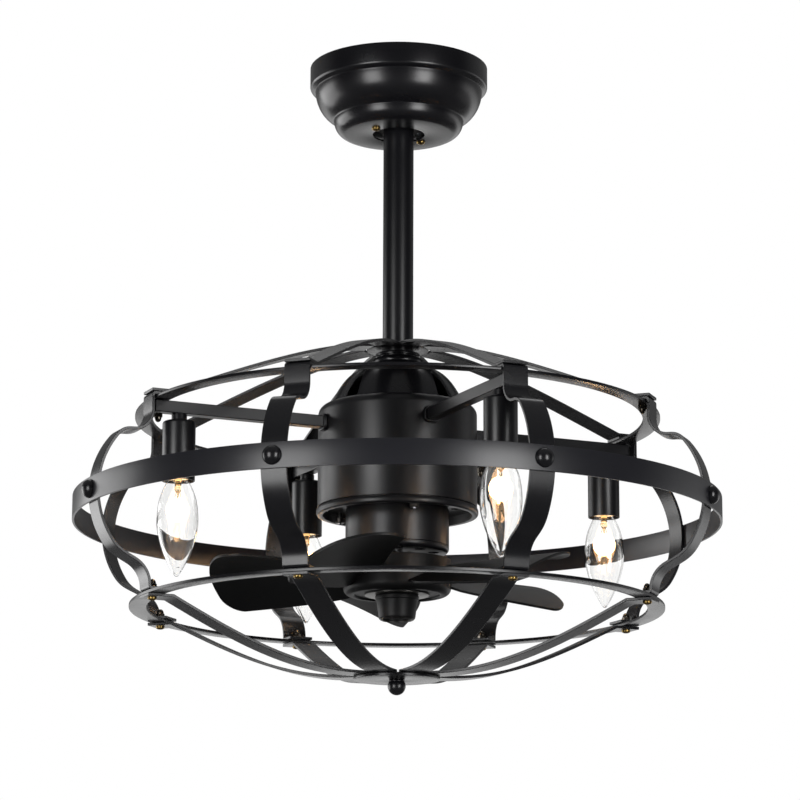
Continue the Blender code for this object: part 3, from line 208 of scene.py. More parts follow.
class FanRotorSizes(bpy.types.PropertyGroup):
    """The hub, the blades and the knob."""
    hub_radius: length("Hub radius", "Outside radius of the hub", 0.0466)
    hub_height: length("Hub height", "Height of the hub", 0.0306)
    hub_wall: length("Hub wall", "Wall of the hub", 0.0025)
    hub_boss: length("Hub boss", "Radius of the post inside the hub", 0.0090)
    hub_round: length("Hub round", "Radius of the hub's lower edge", 0.0066)
    recess_outer: length("Recess outer", "Outer radius of the ring sunk in the hub's face", 0.0370)
    recess_inner: length("Recess inner", "Inner radius of the ring sunk in the hub's face", 0.0280)
    recess_depth: length("Recess depth", "Depth of the ring sunk in the hub's face", 0.0015)
    shaft_bore: length("Shaft bore", "Radius of the bore for the shaft", 0.0053)
    blades: count("Blades", "Number of blades", 5)
    blade_heading: angle("Blade heading", "Heading of the first blade", -90.0)
    blade_tip: length("Blade tip", "Distance of the blade's tip from the axis", 0.1615)
    blade_half: length("Blade half width", "Half the width of the blade near its tip", 0.0500)
    blade_root_raised: length("Root raised side", "Width of the root on the raised side", 0.0020)
    blade_root_low: length("Root low side", "Width of the root on the low side", 0.0300)
    blade_pitch: angle("Blade pitch", "Tilt of the blade across its width", 18.3)
    blade_camber: length("Blade camber", "Drop of the blade's edges under its middle", 0.0095)
    blade_bow: length("Tip bow", "How far the tip bows out", 0.0150)
    blade_corner: length("Tip corner", "Radius of the tip's corners", 0.0140)
    blade_seat: length("Blade seat", "Height of the blade's middle over the hub's foot", 0.0200)
    blade_thickness: length("Blade thickness", "Thickness of the blade", 0.0022)
    knob_foot: length("Knob foot", "Radius of the knob's end", 0.0154)
    knob_collar: length("Knob collar", "Height of the knob's collar", 0.0040)
    knob_waist: length("Knob waist", "Radius of the taper under the collar", 0.0177)
    knob_bore: length("Knob bore", "Depth of the knob's bore", 0.0150)
    knob_rim: length("Knob rim", "Width of the rim round the knob's end", 0.0031)
    knob_recess: length("Knob recess", "Depth of the recess in the knob's end", 0.0032)


class FanCageSizes(bpy.types.PropertyGroup):
    """The cage's rings and bars."""
    ribs: count("Ribs", "Number of upright bars", 8)
    heading: angle("First heading", "Heading of the first bar", -65.6)
    thickness: length("Bar thickness", "Thickness of the flat bar", 0.0025)
    width: length("Bar width", "Width of the flat bar", 0.0220)
    edge: length("Edge", "Radius of the bar's worn edges", 0.00035)
    gap: length("Gap", "Clearance between stacked bars", 0.0003)
    disc_bore: length("Disc bore", "Radius of the hole in the bottom disc", 0.0033)
    upper_radius: length("Upper ring", "Outside radius of the upper ring", 0.2275)
    lower_radius: length("Lower ring", "Outside radius of the lower ring", 0.2295)
    ring_width: length("Ring width", "Width of the flat rings", 0.0150)
    band_radius: length("Band radius", "Outside radius of the upright band", 0.2795)
    band_thickness: length("Band thickness", "Thickness of the upright band", 0.0020)
    rivet_radius: length("Rivet radius", "Radius of a rivet's dome", 0.0080)
    rivet_height: length("Rivet height", "Height of a rivet's dome", 0.0072)
    neck_bend: length("Neck bend", "Radius of the bend under a rib's flange", 0.0165)
    neck_half: length("Neck half height", "Height of that bend's centre over the band's middle", 0.0690)
    belly: length("Belly radius", "Radius of a rib's belly", 0.07405)
    belly_angle: angle("Belly angle", "Reach of the belly's arc above the band", 40.0)
    foot_start: length("Foot bend start", "Height where the lower neck's bend starts, from the band", 0.0785)
    foot_bend: length("Foot bend", "Radius of the bend over a rib's lower flange", 0.0240)
    foot_sweep: angle("Foot sweep", "How far the lower neck's bend turns", 62.0)
    foot_belly_angle: angle("Foot belly angle", "Reach of the belly's arc under the band", 34.0)
    flange: length("Flange", "Length of a bar's flange", 0.0180)
    basket_end: length("Basket end", "Distance of a basket bar's end from the axis", 0.0278)
    basket_start: length("Basket start", "Distance from the axis where the basket's sweep starts", 0.0400)
    basket_reach: length("Basket reach", "Distance from the axis where the basket's sweep ends", 0.2080)
    arm_nut_seat: length("Arm nut seat", "Height of an arm's nut over its collar's underside", 0.0013)
    nut_inset: length("Nut inset", "Distance of a nut from its ring's outer edge", 0.0065)
    nut_radius: length("Nut radius", "Half the width of a dome nut across its corners", 0.0037)
    nut_height: length("Nut height", "Height of a dome nut", 0.0076)
    flange_bend: length("Flange bend", "Radius of the bend at a rib's flange", 0.0018)


class FanLampSizes(bpy.types.PropertyGroup):
    """The arms, sockets and bulbs."""
    lamps: count("Lamps", "Number of lamps", 4)
    place: length("Lamp place", "Distance of a lamp from the fan's axis", 0.2020)
    arm_half: length("Arm half size", "Half the side of an arm", 0.0051)
    arm_end: length("Arm end", "Distance of an arm's end from the axis", 0.2255)
    collar_half: length("Arm collar", "Half the side of an arm's collar", 0.0072)
    collar_length: length("Collar length", "How far a collar reaches along its arm", 0.0028)
    collar_sunk: length("Collar overlap", "How far a collar starts before the arm", 0.0002)
    neck_radius: length("Socket neck", "Radius of a socket's neck", 0.0065)
    neck_height: length("Neck height", "Height of a socket's neck", 0.0060)
    cup_radius: length("Cup radius", "Outside radius of a socket's cup", 0.0140)
    cup_round: length("Cup round", "Radius of the cup's upper edge", 0.0025)
    cap_bore: length("Cap bore", "Radius of the bore for the bulb's cap", 0.0067)
    cap_depth: length("Cap depth", "Height of the bore's end over the cup's foot", 0.0263)
    socket_wall: length("Socket wall", "Wall of a socket", 0.0013)
    mouth_depth: length("Mouth depth", "Depth of a socket's mouth", 0.0140)
    glass_wall: length("Glass wall", "Wall of a bulb", 0.0006)


def settings():
    """The scene's property groups."""
    return bpy.context.scene.caged_fan


# Materials

def fill(tree, socket, value):
    """Set a socket to a plain value, or link it to another node's output."""
    if isinstance(value, bpy.types.NodeSocket):
        tree.links.new(value, socket)
    else:
        socket.default_value = value


def node(tree, kind, sockets=(), **values):
    """Add a shader node, set its attributes, and fill its sockets."""
    made = tree.nodes.new("ShaderNode" + kind)
    for key, value in values.items():
        setattr(made, key, value)
    for key, value in dict(sockets).items():
        fill(tree, made.inputs[key], value)
    return made


def blank_material(name, sockets=()):
    """A new node material, its tree, and its Principled shader with some sockets filled."""
    material = bpy.data.materials.new(name)
    material.use_nodes = True
    tree = material.node_tree
    shader = tree.nodes["Principled BSDF"]
    for key, value in dict(sockets).items():
        fill(tree, shader.inputs[key], value)
    return material, tree, shader


def piece_place(tree):
    """The place on the piece's own coordinates."""
    place = tree.nodes.get("Piece place") or node(tree, "TexCoord", name="Piece place")
    return place.outputs["Object"]


def noise(tree, scale, detail=2.0):
    """A noise texture on the piece's own coordinates."""
    made = node(tree, "TexNoise", {"Scale": scale, "Detail": detail, "Vector": piece_place(tree)})
    return made.outputs["Fac"]


def ranged(tree, source, start, end, low, high, easing="SMOOTHSTEP"):
    """A value that moves from one level to another as its source grows."""
    ends = {"From Min": start, "From Max": end, "To Min": low, "To Max": high, "Value": source}
    return node(tree, "MapRange", ends, interpolation_type=easing).outputs["Result"]


def joined(tree, operation, first, second):
    """The product of two values, or the larger one. The second may be a plain number."""
    return node(tree, "Math", {0: first, 1: second}, operation=operation).outputs["Value"]


def blended(tree, share, first, second):
    """Two shaders mixed by a share."""
    return node(tree, "MixShader", {0: share, 1: first, 2: second}).outputs["Shader"]


def directly_seen(tree, path):
    """1 on rays that reach the eye straight or through glass, and 0 on others."""
    return joined(tree, "MAXIMUM", path.outputs["Is Camera Ray"], path.outputs["Is Transmission Ray"])


def mottled(tree, shader, base, spread, scale):
    """Let a colour wander a little over the surface."""
    dark = (*[part * (1 - spread) for part in base], 1.0)
    light = (*[min(1.0, part * (1 + spread)) for part in base], 1.0)
    mix = node(tree, "Mix", {"A": dark, "B": light, "Factor": noise(tree, scale, 3.0)}, data_type="RGBA")
    fill(tree, shader.inputs["Base Color"], mix.outputs["Result"])


def bumped(tree, shader, height, strength, depth=FINE_GRAIN):
    """Raise and lower a surface by a texture."""
    bump = node(tree, "Bump", {"Strength": strength, "Distance": depth, "Height": height})
    fill(tree, shader.inputs["Normal"], bump.outputs["Normal"])


def patchy(tree, shader, source, low, high):
    """Let the roughness wander between two values."""
    fill(tree, shader.inputs["Roughness"], ranged(tree, source, 0.3, 0.7, low, high, "LINEAR"))


def painted(name, base, roughness, grain_scale, grain_strength, gloss=0.5):
    """A black coat: fine grain, slight mottle, and gloss that varies with the coat's thickness."""
    material, tree, shader = blank_material(name, {"Specular IOR Level": gloss})
    mottled(tree, shader, base, 0.10, 60.0)
    bumped(tree, shader, noise(tree, grain_scale), grain_strength)
    patchy(tree, shader, noise(tree, 38.0, 3.0), roughness - 0.01, roughness + 0.015)
    return material


def metal(name, base, roughness, grain_scale):
    """A plated or solid metal with fine handling marks."""
    material, tree, shader = blank_material(name, {"Metallic": 1.0})
    mottled(tree, shader, base, 0.10, 90.0)
    patchy(tree, shader, noise(tree, grain_scale, 4.0), roughness - 0.05, roughness + 0.10)
    bumped(tree, shader, noise(tree, grain_scale * 4), 0.02)
    return material


def laminated(name, base):
    """A stack of thin steel sheets, seen at its edges."""
    material, tree, shader = blank_material(name, {"Metallic": 0.9, "Roughness": 0.5})
    mottled(tree, shader, base, 0.15, 120.0)
    sheets = node(tree, "TexWave", {"Scale": 320.0, "Vector": piece_place(tree)}, bands_direction="Z")
    bumped(tree, shader, sheets.outputs["Fac"], 0.3, 0.0001)
    return material


def bulb_glass(name, tint):
    """Clear blown glass, with a faint ripple, that lets the lamp's own light out."""
    material, tree, shader = blank_material(name, {"Base Color": (*tint, 1.0), "Transmission Weight": 1.0,
                                                   "Roughness": 0.0, "IOR": 1.47})
    bumped(tree, shader, noise(tree, 60.0), 0.006, 0.0002)
    shadow = node(tree, "LightPath").outputs["Is Shadow Ray"]
    clear = node(tree, "BsdfTransparent").outputs["BSDF"]
    fill(tree, tree.nodes["Material Output"].inputs["Surface"],
         blended(tree, shadow, shader.outputs["BSDF"], clear))
    return material


def lit(name, base, glow, strength):
    """A surface that shines to the eye, with a little unevenness along it."""
    material, tree, shader = blank_material(name, {"Emission Color": (*glow, 1.0)})
    mottled(tree, shader, base, 0.2, 300.0)
    seen = directly_seen(tree, node(tree, "LightPath"))
    fill(tree, shader.inputs["Emission Strength"], joined(tree, "MULTIPLY", seen, strength))
    return material


def finishes():
    """Every material of the fan, made once."""
    if FINISHES:
        return FINISHES
    look = settings().colours
    coat, matt = look.coat, look.coat_roughness
    FINISHES.update({
        "coat": painted("satin_black_coat", coat, matt, 1500.0, 0.10),
        "moulding": painted("moulded_black", look.moulding, look.moulding_roughness, 2600.0, 0.16, 0.32),
        # The band's coat is the black coat painted 2.4 times lighter, a little rougher: a painted sheen for
        # the brighter reflection the band shows.
        "band_painted_sheen": painted("band_black_painted_sheen", [part * 2.4 for part in coat], matt + 0.03, 1500.0, 0.10),
        "lamp_coat": painted("lamp_black_coat", coat, matt + 0.07, 1900.0, 0.03),
        "tube_coat": painted("tube_black_coat", coat, matt + 0.04, 1500.0, 0.10, 0.34),
        "drum_coat": painted("drum_black_coat", coat, matt + 0.09, 1700.0, 0.08),
        "polymer": painted("hanger_polymer", (0.045, 0.045, 0.045), 0.5, 900.0, 0.2),
        "brass": metal("screw_brass", look.brass, 0.28, 400.0),
        "bronze": metal("dark_nut_plate", look.bronze, 0.22, 400.0),
        "nickel": metal("nickel_plate", look.nickel, 0.34, 400.0),
        "zinc": metal("zinc_plate", look.zinc, 0.34, 160.0),
        "ground": metal("ground_steel", (0.62, 0.62, 0.64), 0.2, 260.0),
        "core": laminated("core_sheets", (0.28, 0.29, 0.31)),
        "glass": bulb_glass("bulb_glass", look.glass),
        "stem": bulb_glass("stem_glass", (1.0, 0.84, 0.56)),
        "filament": lit("lit_filament", (0.9, 0.6, 0.3), look.glow, look.glow_strength),
        # The socket lining's warm glow is painted: it shines to the eye though it is no lamp, in place of the
        # bulb's light on it.
        "porcelain_painted_glow": lit("socket_lining", (0.72, 0.62, 0.46), (1.0, 0.70, 0.40), 0.9),
    })
    return FINISHES


FINISHES = {}


# Outlines, as points of radius and height

def arc(centre, reach, start_deg, end_deg, steps):
    """Points of an ellipse arc, both ends included."""
    points = []
    for step in range(steps + 1):
        turn = math.radians(start_deg + (end_deg - start_deg) * step / steps)
        points.append((centre[0] + reach[0] * math.cos(turn), centre[1] + reach[1] * math.sin(turn)))
    return points


def bend(centre, radius, start_deg, end_deg, steps=8):
    """Points of a round arc."""
    return arc(centre, (radius, radius), start_deg, end_deg, steps)


def flat_ring(inner, outer, top, foot):
    """The outline of a flat ring."""
    return [(inner, top), (outer, top), (outer, foot), (inner, foot)]


def smooth_curve(controls, steps):
    """Points inside a smooth curve, without its two ends."""
    points = []
    for step in range(1, steps):
        share = step / steps
        stage = [Vector(control) for control in controls]
        while len(stage) > 1:
            stage = [first.lerp(second, share) for first, second in zip(stage, stage[1:])]
        points.append(tuple(stage[0]))
    return points


def eased(outline, radius, closed=True, steps=3):
    """Ease each sharp corner of an outline by a small radius."""
    points = [Vector(point) for point in outline]
    done = []
    for index, point in enumerate(points):
        inward, outward = points[index - 1] - point, points[(index + 1) % len(points)] - point
        ends = not closed and index in (0, len(points) - 1)
        shortest = min(inward.length, outward.length)
        if ends or shortest < 1e-7 or math.pi - inward.angle(outward) < math.radians(25):
            done.append(tuple(point))
            continue
        cut = min(radius, 0.45 * shortest)
        start, finish = point + inward.normalized() * cut, point + outward.normalized() * cut
        done += [tuple(start), *smooth_curve((start, point, finish), steps), tuple(finish)]
    return done


def beside(line, distance):
    """The line moved sideways by a distance, mitred at each bend."""
    points = [Vector(point) for point in line]
    ways = [(after - before).normalized() for before, after in zip(points, points[1:])]
    moved = []
    for point, arriving, leaving in zip(points, [ways[0]] + ways, ways + [ways[-1]]):
        normal = Vector((-arriving.y, arriving.x))
        mitre = (normal + Vector((-leaving.y, leaving.x))).normalized()
        moved.append(tuple(point + mitre * (distance / mitre.dot(normal))))
    return moved


# Pieces

def placed(name, data):
    """A new object in the scene."""
    made = bpy.data.objects.new(name, data)
    bpy.context.collection.objects.link(made)
    return made


def mesh_of(name, bm):
    """A mesh from a bmesh, whose faces look outwards."""
    bmesh.ops.recalc_face_normals(bm, faces=bm.faces)
    mesh = bpy.data.meshes.new(name)
    bm.to_mesh(mesh)
    bm.free()
    return mesh


def new_piece(name, bm, finish="coat", stands_for=None, body="hanging_fan", sharp_deg=30.0):
    """Make a finished bmesh a piece that rides on a body, and hide the CAD piece that it stands for."""
    mesh = mesh_of(name, bm)
    mesh.materials.append(finishes()[finish])
    mesh.shade_smooth()
    mesh.set_sharp_from_angle(angle=math.radians(sharp_deg))
    piece = placed(name, mesh)
    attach(piece, body)
    if stands_for:
        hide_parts(stands_for)
    return piece


def put(bm, place):
    """Put a bmesh in place by a matrix, and keep its face normals true."""
    bmesh.ops.transform(bm, matrix=place, verts=bm.verts)


def revolved(outline, sides, closed=True, place=None):
    """A bmesh of an outline turned round Z, then put in place by a matrix."""
    bm = bmesh.new()
    ring = [bm.verts.new((radius, 0, height)) for radius, height in outline]
    edges = [bm.edges.new(pair) for pair in zip(ring, ring[1:])]
    if closed:
        edges.append(bm.edges.new((ring[-1], ring[0])))
    bmesh.ops.spin(bm, geom=ring + edges, cent=(0, 0, 0), axis=(0, 0, 1), angle=math.tau, steps=sides,
                   use_merge=True, use_duplicate=False)
    bmesh.ops.remove_doubles(bm, verts=bm.verts, dist=1e-7)
    if place is not None:
        put(bm, place)
    return bm


def turned(name, outline, finish="coat", stands_for=None, body="hanging_fan", sides=96, ease=0.0004,
           closed=True, place=None):
    """A piece turned round the fan's axis, or round its own."""
    shape = eased(outline, ease, closed) if ease else outline
    return new_piece(name, revolved(shape, sides, closed, place), finish, stands_for, body)


def heading_matrix(heading_deg):
    """Turn what is built along +X to its heading, which counts from the front towards +X."""
    return Matrix.Rotation(math.radians(heading_deg + FRONT_HEADING), 4, "Z")


def at_heading(heading_deg, radius, height):
    """A place in the frame from a heading, a radius and a height."""
    return heading_matrix(heading_deg) @ Vector((radius, 0, height))


def headings(first, number):
    """Evenly spread headings in degrees, from a first one in radians."""
    return [math.degrees(first) + 360 / number * index for index in range(number)]


def upright(place, facing_up=False):
    """A matrix for what is built upwards: it hangs from a place, or stands on it."""
    turn = Matrix.Translation(place)
    return turn if facing_up else turn @ Matrix.Rotation(math.pi, 4, "X")


def pushed_out(corners, way):
    """A bmesh of a flat face pushed out along a way."""
    bm = bmesh.new()
    face = bm.faces.new([bm.verts.new(corner) for corner in corners])
    swept = bmesh.ops.extrude_face_region(bm, geom=[face])
    moved = [item for item in swept["geom"] if isinstance(item, bmesh.types.BMVert)]
    bmesh.ops.translate(bm, verts=moved, vec=way)
    return bm


def box_shape(low, high):
    """A bmesh block between two corners."""
    bm = bmesh.new()
    bmesh.ops.create_cube(bm, size=1.0)
    low, high = Vector(low), Vector(high)
    bmesh.ops.scale(bm, vec=high - low, verts=bm.verts)
    bmesh.ops.translate(bm, vec=(low + high) / 2, verts=bm.verts)
    return bm


def soften(piece, width, segments=2, limit_deg=40.0):
    """Round a piece's sharp edges with a bevel."""
    modifier = piece.modifiers.new("eased_edges", "BEVEL")
    modifier.width = width
    modifier.segments = segments
    modifier.limit_method = "ANGLE"
    modifier.angle_limit = math.radians(limit_deg)


def cut_away(piece, shapes):
    """Cut shapes out of a piece for good."""
    cutters = [placed("cutter", mesh_of("cutter", bm)) for bm in shapes]
    for cutter in cutters:
        modifier = piece.modifiers.new("cut", "BOOLEAN")
        modifier.operation = "DIFFERENCE"
        modifier.object = cutter
    bpy.context.view_layer.update()
    graph = bpy.context.evaluated_depsgraph_get()
    mesh = bpy.data.meshes.new_from_object(piece.evaluated_get(graph))
    piece.modifiers.clear()
    piece.data = mesh
    mesh.set_sharp_from_angle(angle=math.radians(30))
    for cutter in cutters:
        bpy.data.objects.remove(cutter, do_unlink=True)


def screw_head(name, place, finish, head, body="hanging_fan", facing_up=False):
    """A pan-head screw with a cross recess, its seat at a place. Its head is a radius and a height."""
    radius, height = head
    dome = [(0, 0), (radius, 0)] + arc((0, height * 0.35), (radius, height * 0.65), 0, 90, 6)
    turn = upright(place, facing_up)
    piece = turned(name, dome, finish, body=body, sides=24, ease=0, closed=False, place=turn)
    reach, thin = radius * 0.55, radius * 0.13
    low, high = height * 0.55, height * 1.2
    cross = [box_shape((-x, -y, low), (x, y, high)) for x, y in ((reach, thin), (thin, reach))]
    for bar in cross:
        put(bar, turn)
    cut_away(piece, cross)


def dome_nut(name, place, facing_up=False):
    """An acorn nut: six flats under a dome."""
    cage = settings().cage
    radius, height, turn = cage.nut_radius, cage.nut_height, upright(place, facing_up)
    flats = [(0, 0), (radius, 0), (radius, height * 0.42), (radius * 0.86, height * 0.48), (0, height * 0.48)]
    hexagon = mesh_of("flats", revolved(flats, 6, False, turn))
    dome = [(0, height * 0.44), (radius * 0.8, height * 0.44)]
    dome += arc((0, height * 0.48), (radius * 0.8, height * 0.52), 0, 90, 8)
    bm = revolved(dome, 24, False, turn)
    bm.from_mesh(hexagon)
    bpy.data.meshes.remove(hexagon)
    new_piece(name, bm, "bronze")


# The studio

class FAN_OT_stage(bpy.types.Operator):
    """Set up the camera, the softboxes, the floor and the background"""
    bl_idname = "fan.stage"
    bl_label = "Studio"

    def execute(self, context):
        studio = settings().studio
        add_camera(studio)
        for name, heading, distance, height, size, power in (
                ("key_softbox", -36, 2.6, -0.50, (1.0, 1.6), studio.key_power),
                ("fill_softbox", 34, 2.6, -0.50, (0.9, 1.6), studio.fill_power),
                ("side_softbox", -118, 2.4, -0.50, (1.7, 1.6), studio.side_power),
                ("rim_softbox", 114, 2.4, -0.50, (1.2, 1.6), studio.rim_power),
                ("top_softbox", 180, 1.2, 1.6, (1.6, 1.6), studio.top_power)):
            add_softbox(name, at_heading(heading, distance, height), size, power)
        add_floor(studio)
        add_background()
        context.scene.view_settings.view_transform = "Standard"
        return {"FINISHED"}


def add_camera(studio):
    """The camera at the photograph's angle."""
    data = bpy.data.cameras.new("studio_camera")
    data.lens = studio.camera_lens
    data.sensor_width = 36.0
    data.shift_x = studio.camera_shift
    camera = placed("studio_camera", data)
    place = Matrix.Translation((0, -studio.camera_distance, -studio.camera_drop))
    aim = Matrix.Rotation(math.pi / 2 + studio.camera_pitch, 4, "X")
    camera.matrix_world = place @ aim @ Matrix.Rotation(studio.camera_roll, 4, "Z")
    bpy.context.scene.camera = camera


def add_softbox(name, place, size, power):
    """A soft lamp that faces the fan's middle."""
    data = bpy.data.lights.new(name, "AREA")
    data.shape = "RECTANGLE"
    data.size, data.size_y = size
    data.energy = power
    lamp = placed(name, data)
    lamp.location = place
    lamp.rotation_euler = (FAN_MIDDLE - place).to_track_quat("-Z", "Y").to_euler()


def split_place(tree, kind):
    """The three parts of a shading place."""
    return node(tree, "SeparateXYZ", {"Vector": node(tree, "TexCoord").outputs[kind]}).outputs


def add_floor(studio):
    """A plain pale floor: white to the eye, dim near and white far in gloss, and clear from below."""
    bm, half_side = bmesh.new(), 14.0
    bmesh.ops.create_grid(bm, x_segments=1, y_segments=1, size=half_side)
    mesh = bpy.data.meshes.new("floor")
    bm.to_mesh(mesh)
    bm.free()
    floor = placed("floor", mesh)
    floor.location = (0, 0, -studio.floor_drop)
    material, tree, shader = blank_material("pale_floor", {"Base Color": (0.86, 0.86, 0.86, 1.0),
                                                           "Roughness": 0.8})
    path = node(tree, "LightPath")
    seen = directly_seen(tree, path)
    far = ranged(tree, split_place(tree, "Object")["Y"], 5.0, 11.5, 0.10, 1.6)
    share = joined(tree, "MAXIMUM", joined(tree, "MULTIPLY", seen, 0.9), path.outputs["Is Glossy Ray"])
    glow = node(tree, "Emission", {"Strength": joined(tree, "MAXIMUM", seen, far)})
    above = blended(tree, share, shader.outputs["BSDF"], glow.outputs["Emission"])
    below = node(tree, "NewGeometry").outputs["Backfacing"]
    clear = node(tree, "BsdfTransparent").outputs["BSDF"]
    fill(tree, tree.nodes["Material Output"].inputs["Surface"], blended(tree, below, above, clear))
    mesh.materials.append(material)


def add_background():
    """White to the eye and behind the fan, and a dim studio in front of it and over it."""
    world = bpy.data.worlds.new("studio")
    bpy.context.scene.world = world
    world.use_nodes = True
    tree = world.node_tree
    shade = tree.nodes["Background"]
    shade.inputs["Strength"].default_value = 1.0
    split = split_place(tree, "Generated")
    depth = ranged(tree, split["Y"], -0.1, 0.45, 0.03, 0.95)
    low = ranged(tree, split["Z"], -0.05, 0.15, 1.0, 0.2)
    ceiling = ranged(tree, split["Z"], 0.30, 0.85, 0.0, 0.20)
    level = joined(tree, "MAXIMUM", joined(tree, "MULTIPLY", depth, low), ceiling)
    fill(tree, shade.inputs["Color"], level)
    white = node(tree, "Background", {"Color": (1, 1, 1, 1)}).outputs["Background"]
    seen = directly_seen(tree, node(tree, "LightPath"))
    fill(tree, tree.nodes["World Output"].inputs["Surface"],
         blended(tree, seen, shade.outputs["Background"], white))


# The canopy, the rod, the drum and the motor

class FAN_OT_canopy(bpy.types.Operator):
    """Spin the canopy and set its two brass screws"""
    bl_idname = "fan.canopy"
    bl_label = "Canopy"

    def execute(self, context):
        size = settings().canopy
        radius, foot_z = CANOPY_HIGH.x, CANOPY_LOW.z
        centre_share, foot_share, bulge_share = 6.1, 0.31, 1.025
        wall, centre = size.wall, radius - centre_share * (radius - size.bulge)
        step_z = -size.band - size.step
        foot_round = (size.foot_round, (-foot_z + step_z) * foot_share)
        foot_top = foot_z + foot_round[1]
        foot_centre = (size.foot - size.foot_round, foot_top)
        bulge = (size.bulge - centre, (step_z - foot_top) * bulge_share)
        outline = [(radius, 0)] + bend((radius - size.lip, step_z + size.lip), size.lip, 0, -62, 6)
        outline += arc((centre, step_z), bulge, -2, -70, 20)
        outline += arc(foot_centre, foot_round, 0, -90, 12)
        outline += [(size.hole, foot_z), (size.hole, foot_z + wall)]
        outline += arc(foot_centre, (foot_round[0] - wall, foot_round[1] - wall), -90, 0, 8)
        outline += arc((centre, step_z), (bulge[0] - wall, bulge[1] - wall), -62, 0, 12)
        outline += [(size.bulge - wall, step_z + wall), (radius - wall, step_z + 2 * wall),
                    (radius - wall, 0)]
        turned("canopy_cover", outline, "coat", "canopy", "ceiling_mount", ease=0.0003)
        for index, heading in enumerate(headings(size.screw_heading, 2)):
            screw_head(f"canopy_screw_{index + 1}", at_heading(heading, size.screw_place, foot_z), "brass",
                       BRASS_SCREW, "ceiling_mount")
        return {"FINISHED"}


class FAN_OT_hidden_parts(bpy.types.Operator):
    """Finish the hanger and the inside of the motor, which keep their CAD shapes"""
    bl_idname = "fan.hidden_parts"
    bl_label = "Hanger and motor inside"

    def execute(self, context):
        wanted = {"zinc": ("hanger_bracket",), "polymer": ("hanger_ball",),
                  "ground": ("hanger_pin", "motor_shaft", "upper_bearing", "lower_bearing"),
                  "core": ("motor_stator", "motor_rotor")}
        for finish, names in wanted.items():
            for name in names:
                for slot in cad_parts[name].material_slots:
                    slot.material = finishes()[finish]
        return {"FINISHED"}


class FAN_OT_drop(bpy.types.Operator):
    """Turn the rod, the collar, the spider, the drum and its base"""
    bl_idname = "fan.drop"
    bl_label = "Rod and drum"

    def execute(self, context):
        size = settings().drop
        bore = ROD_HIGH.x + GAP
        tube = flat_ring(size.rod_bore, ROD_HIGH.x, ROD_HIGH.z, ROD_LOW.z)
        turned("down_rod_tube", tube, "tube_coat", "downrod", sides=72)
        add_collar(size, bore)
        add_spider(size, bore)
        add_drum(size)
        add_base(size)
        return {"FINISHED"}


def add_collar(size, bore):
    """The turned collar over the rod's foot."""
    top, foot, flange, groove = COLLAR_HIGH.z, COLLAR_LOW.z, size.collar_flange, size.collar_groove
    step = (top - foot) * 0.217
    groove_foot = top - 1.5 * step
    half = (groove_foot - foot) / 2
    outline = [(bore, top), (flange, top), (flange, top - step), (groove, top - step), (groove, groove_foot)]
    outline += arc((groove, groove_foot - half), (COLLAR_HIGH.x - groove, half), 70, -45, 10)
    outline += [(flange, foot), (bore, foot)]
    turned("coupling_collar_turned", outline, "coat", "coupling_collar", sides=72, ease=0.0006)


def add_spider(size, bore):
    """The flared yoke cover with its four slots."""
    top, foot, reach = SPIDER_HIGH.z, SPIDER_LOW.z, SPIDER_HIGH.x
    neck, neck_foot, wall = size.spider_neck, top - size.spider_neck_height, size.spider_wall
    start = neck + size.spider_shelf
    span, drop = reach - start, neck_foot - foot
    flare = [(0.0, 0.0)] + smooth_curve(((0.0, 0.0), (0.42, 0.08), (0.70, 0.42), (1.0, 1.0)), 16)
    outside = [(start + span * along, neck_foot - drop * down) for along, down in flare]
    inside = [(radius - wall, height - wall / 2) for radius, height in outside]
    outline = [(bore, top), (neck, top), (neck, neck_foot)] + outside
    outline += [(reach, foot), (reach - wall, foot)] + inside[::-1]
    outline += [(size.spider_boss, neck_foot - wall), (size.spider_boss, foot), (bore, foot)]
    spider = turned("yoke_spider_cover", outline, "coat", "yoke_spider")
    half, far, under = size.spider_slot_half, reach + OVERRUN, foot - OVERRUN
    wedge = ((size.spider_slot, 0, under), (far, -half, under), (far, half, under))
    cutter_height = 0.060
    slots = [pushed_out(wedge, (0, 0, cutter_height)) for index in range(4)]
    for index, slot in enumerate(slots):
        put(slot, heading_matrix(45 + 90 * index))
    cut_away(spider, slots)


def add_drum(size):
    """The drum's drawn shell."""
    top, foot, radius = DRUM_HIGH.z, DRUM_LOW.z, DRUM_HIGH.x
    wall, shoulder = size.drum_wall, size.drum_shoulder
    turn, bore = (radius - shoulder, top - shoulder), size.drum_hole
    outline = [(bore, top)] + bend(turn, shoulder, 90, 0, 10) + [(radius, foot), (radius - wall, foot)]
    outline += bend(turn, shoulder - wall, 0, 90, 6) + [(bore, top - wall)]
    turned("drum_cover", outline, "drum_coat", "drum_shell", sides=128, ease=0.0003)


def add_base(size):
    """The drum's base with its rounded lip, two screws and a hole for the wires."""
    radius, lip_foot, top = BASE_HIGH.x, BASE_LOW.z, BASE_HIGH.z
    lip_top, inner, bead = lip_foot + size.lip_height, radius - size.lip_width, size.lip_height / 2
    plate, bore = lip_top + SHEET, size.base_hole
    spigot = DRUM_HIGH.x - size.drum_wall - GAP
    outline = [(bore, plate), (inner, plate), (inner, lip_foot)]
    outline += arc((radius - bead / 2, lip_foot + bead), (bead / 2, bead), -88, 88, 12)
    outline += [(spigot, lip_top), (spigot, top), (spigot - SHEET, top), (spigot - SHEET, plate + SHEET),
                (bore, plate + SHEET)]
    base = turned("drum_base_plate", outline, "drum_coat", "drum_base", sides=128, ease=0.0003)
    hole_radius, hole_place = 0.0034, (0.0495, 0.0055, 0)
    screw_places = ((0.0145, -0.0500), (-0.0500, 0.0300))
    wire_hole = flat_ring(0, hole_radius, plate - OVERRUN, plate + OVERRUN)
    cut_away(base, [revolved(wire_hole, 24, False, Matrix.Translation(hole_place))])
    for index, (x, y) in enumerate(screw_places):
        long_screw(f"base_screw_{index + 1}", Vector((x, y, plate)))


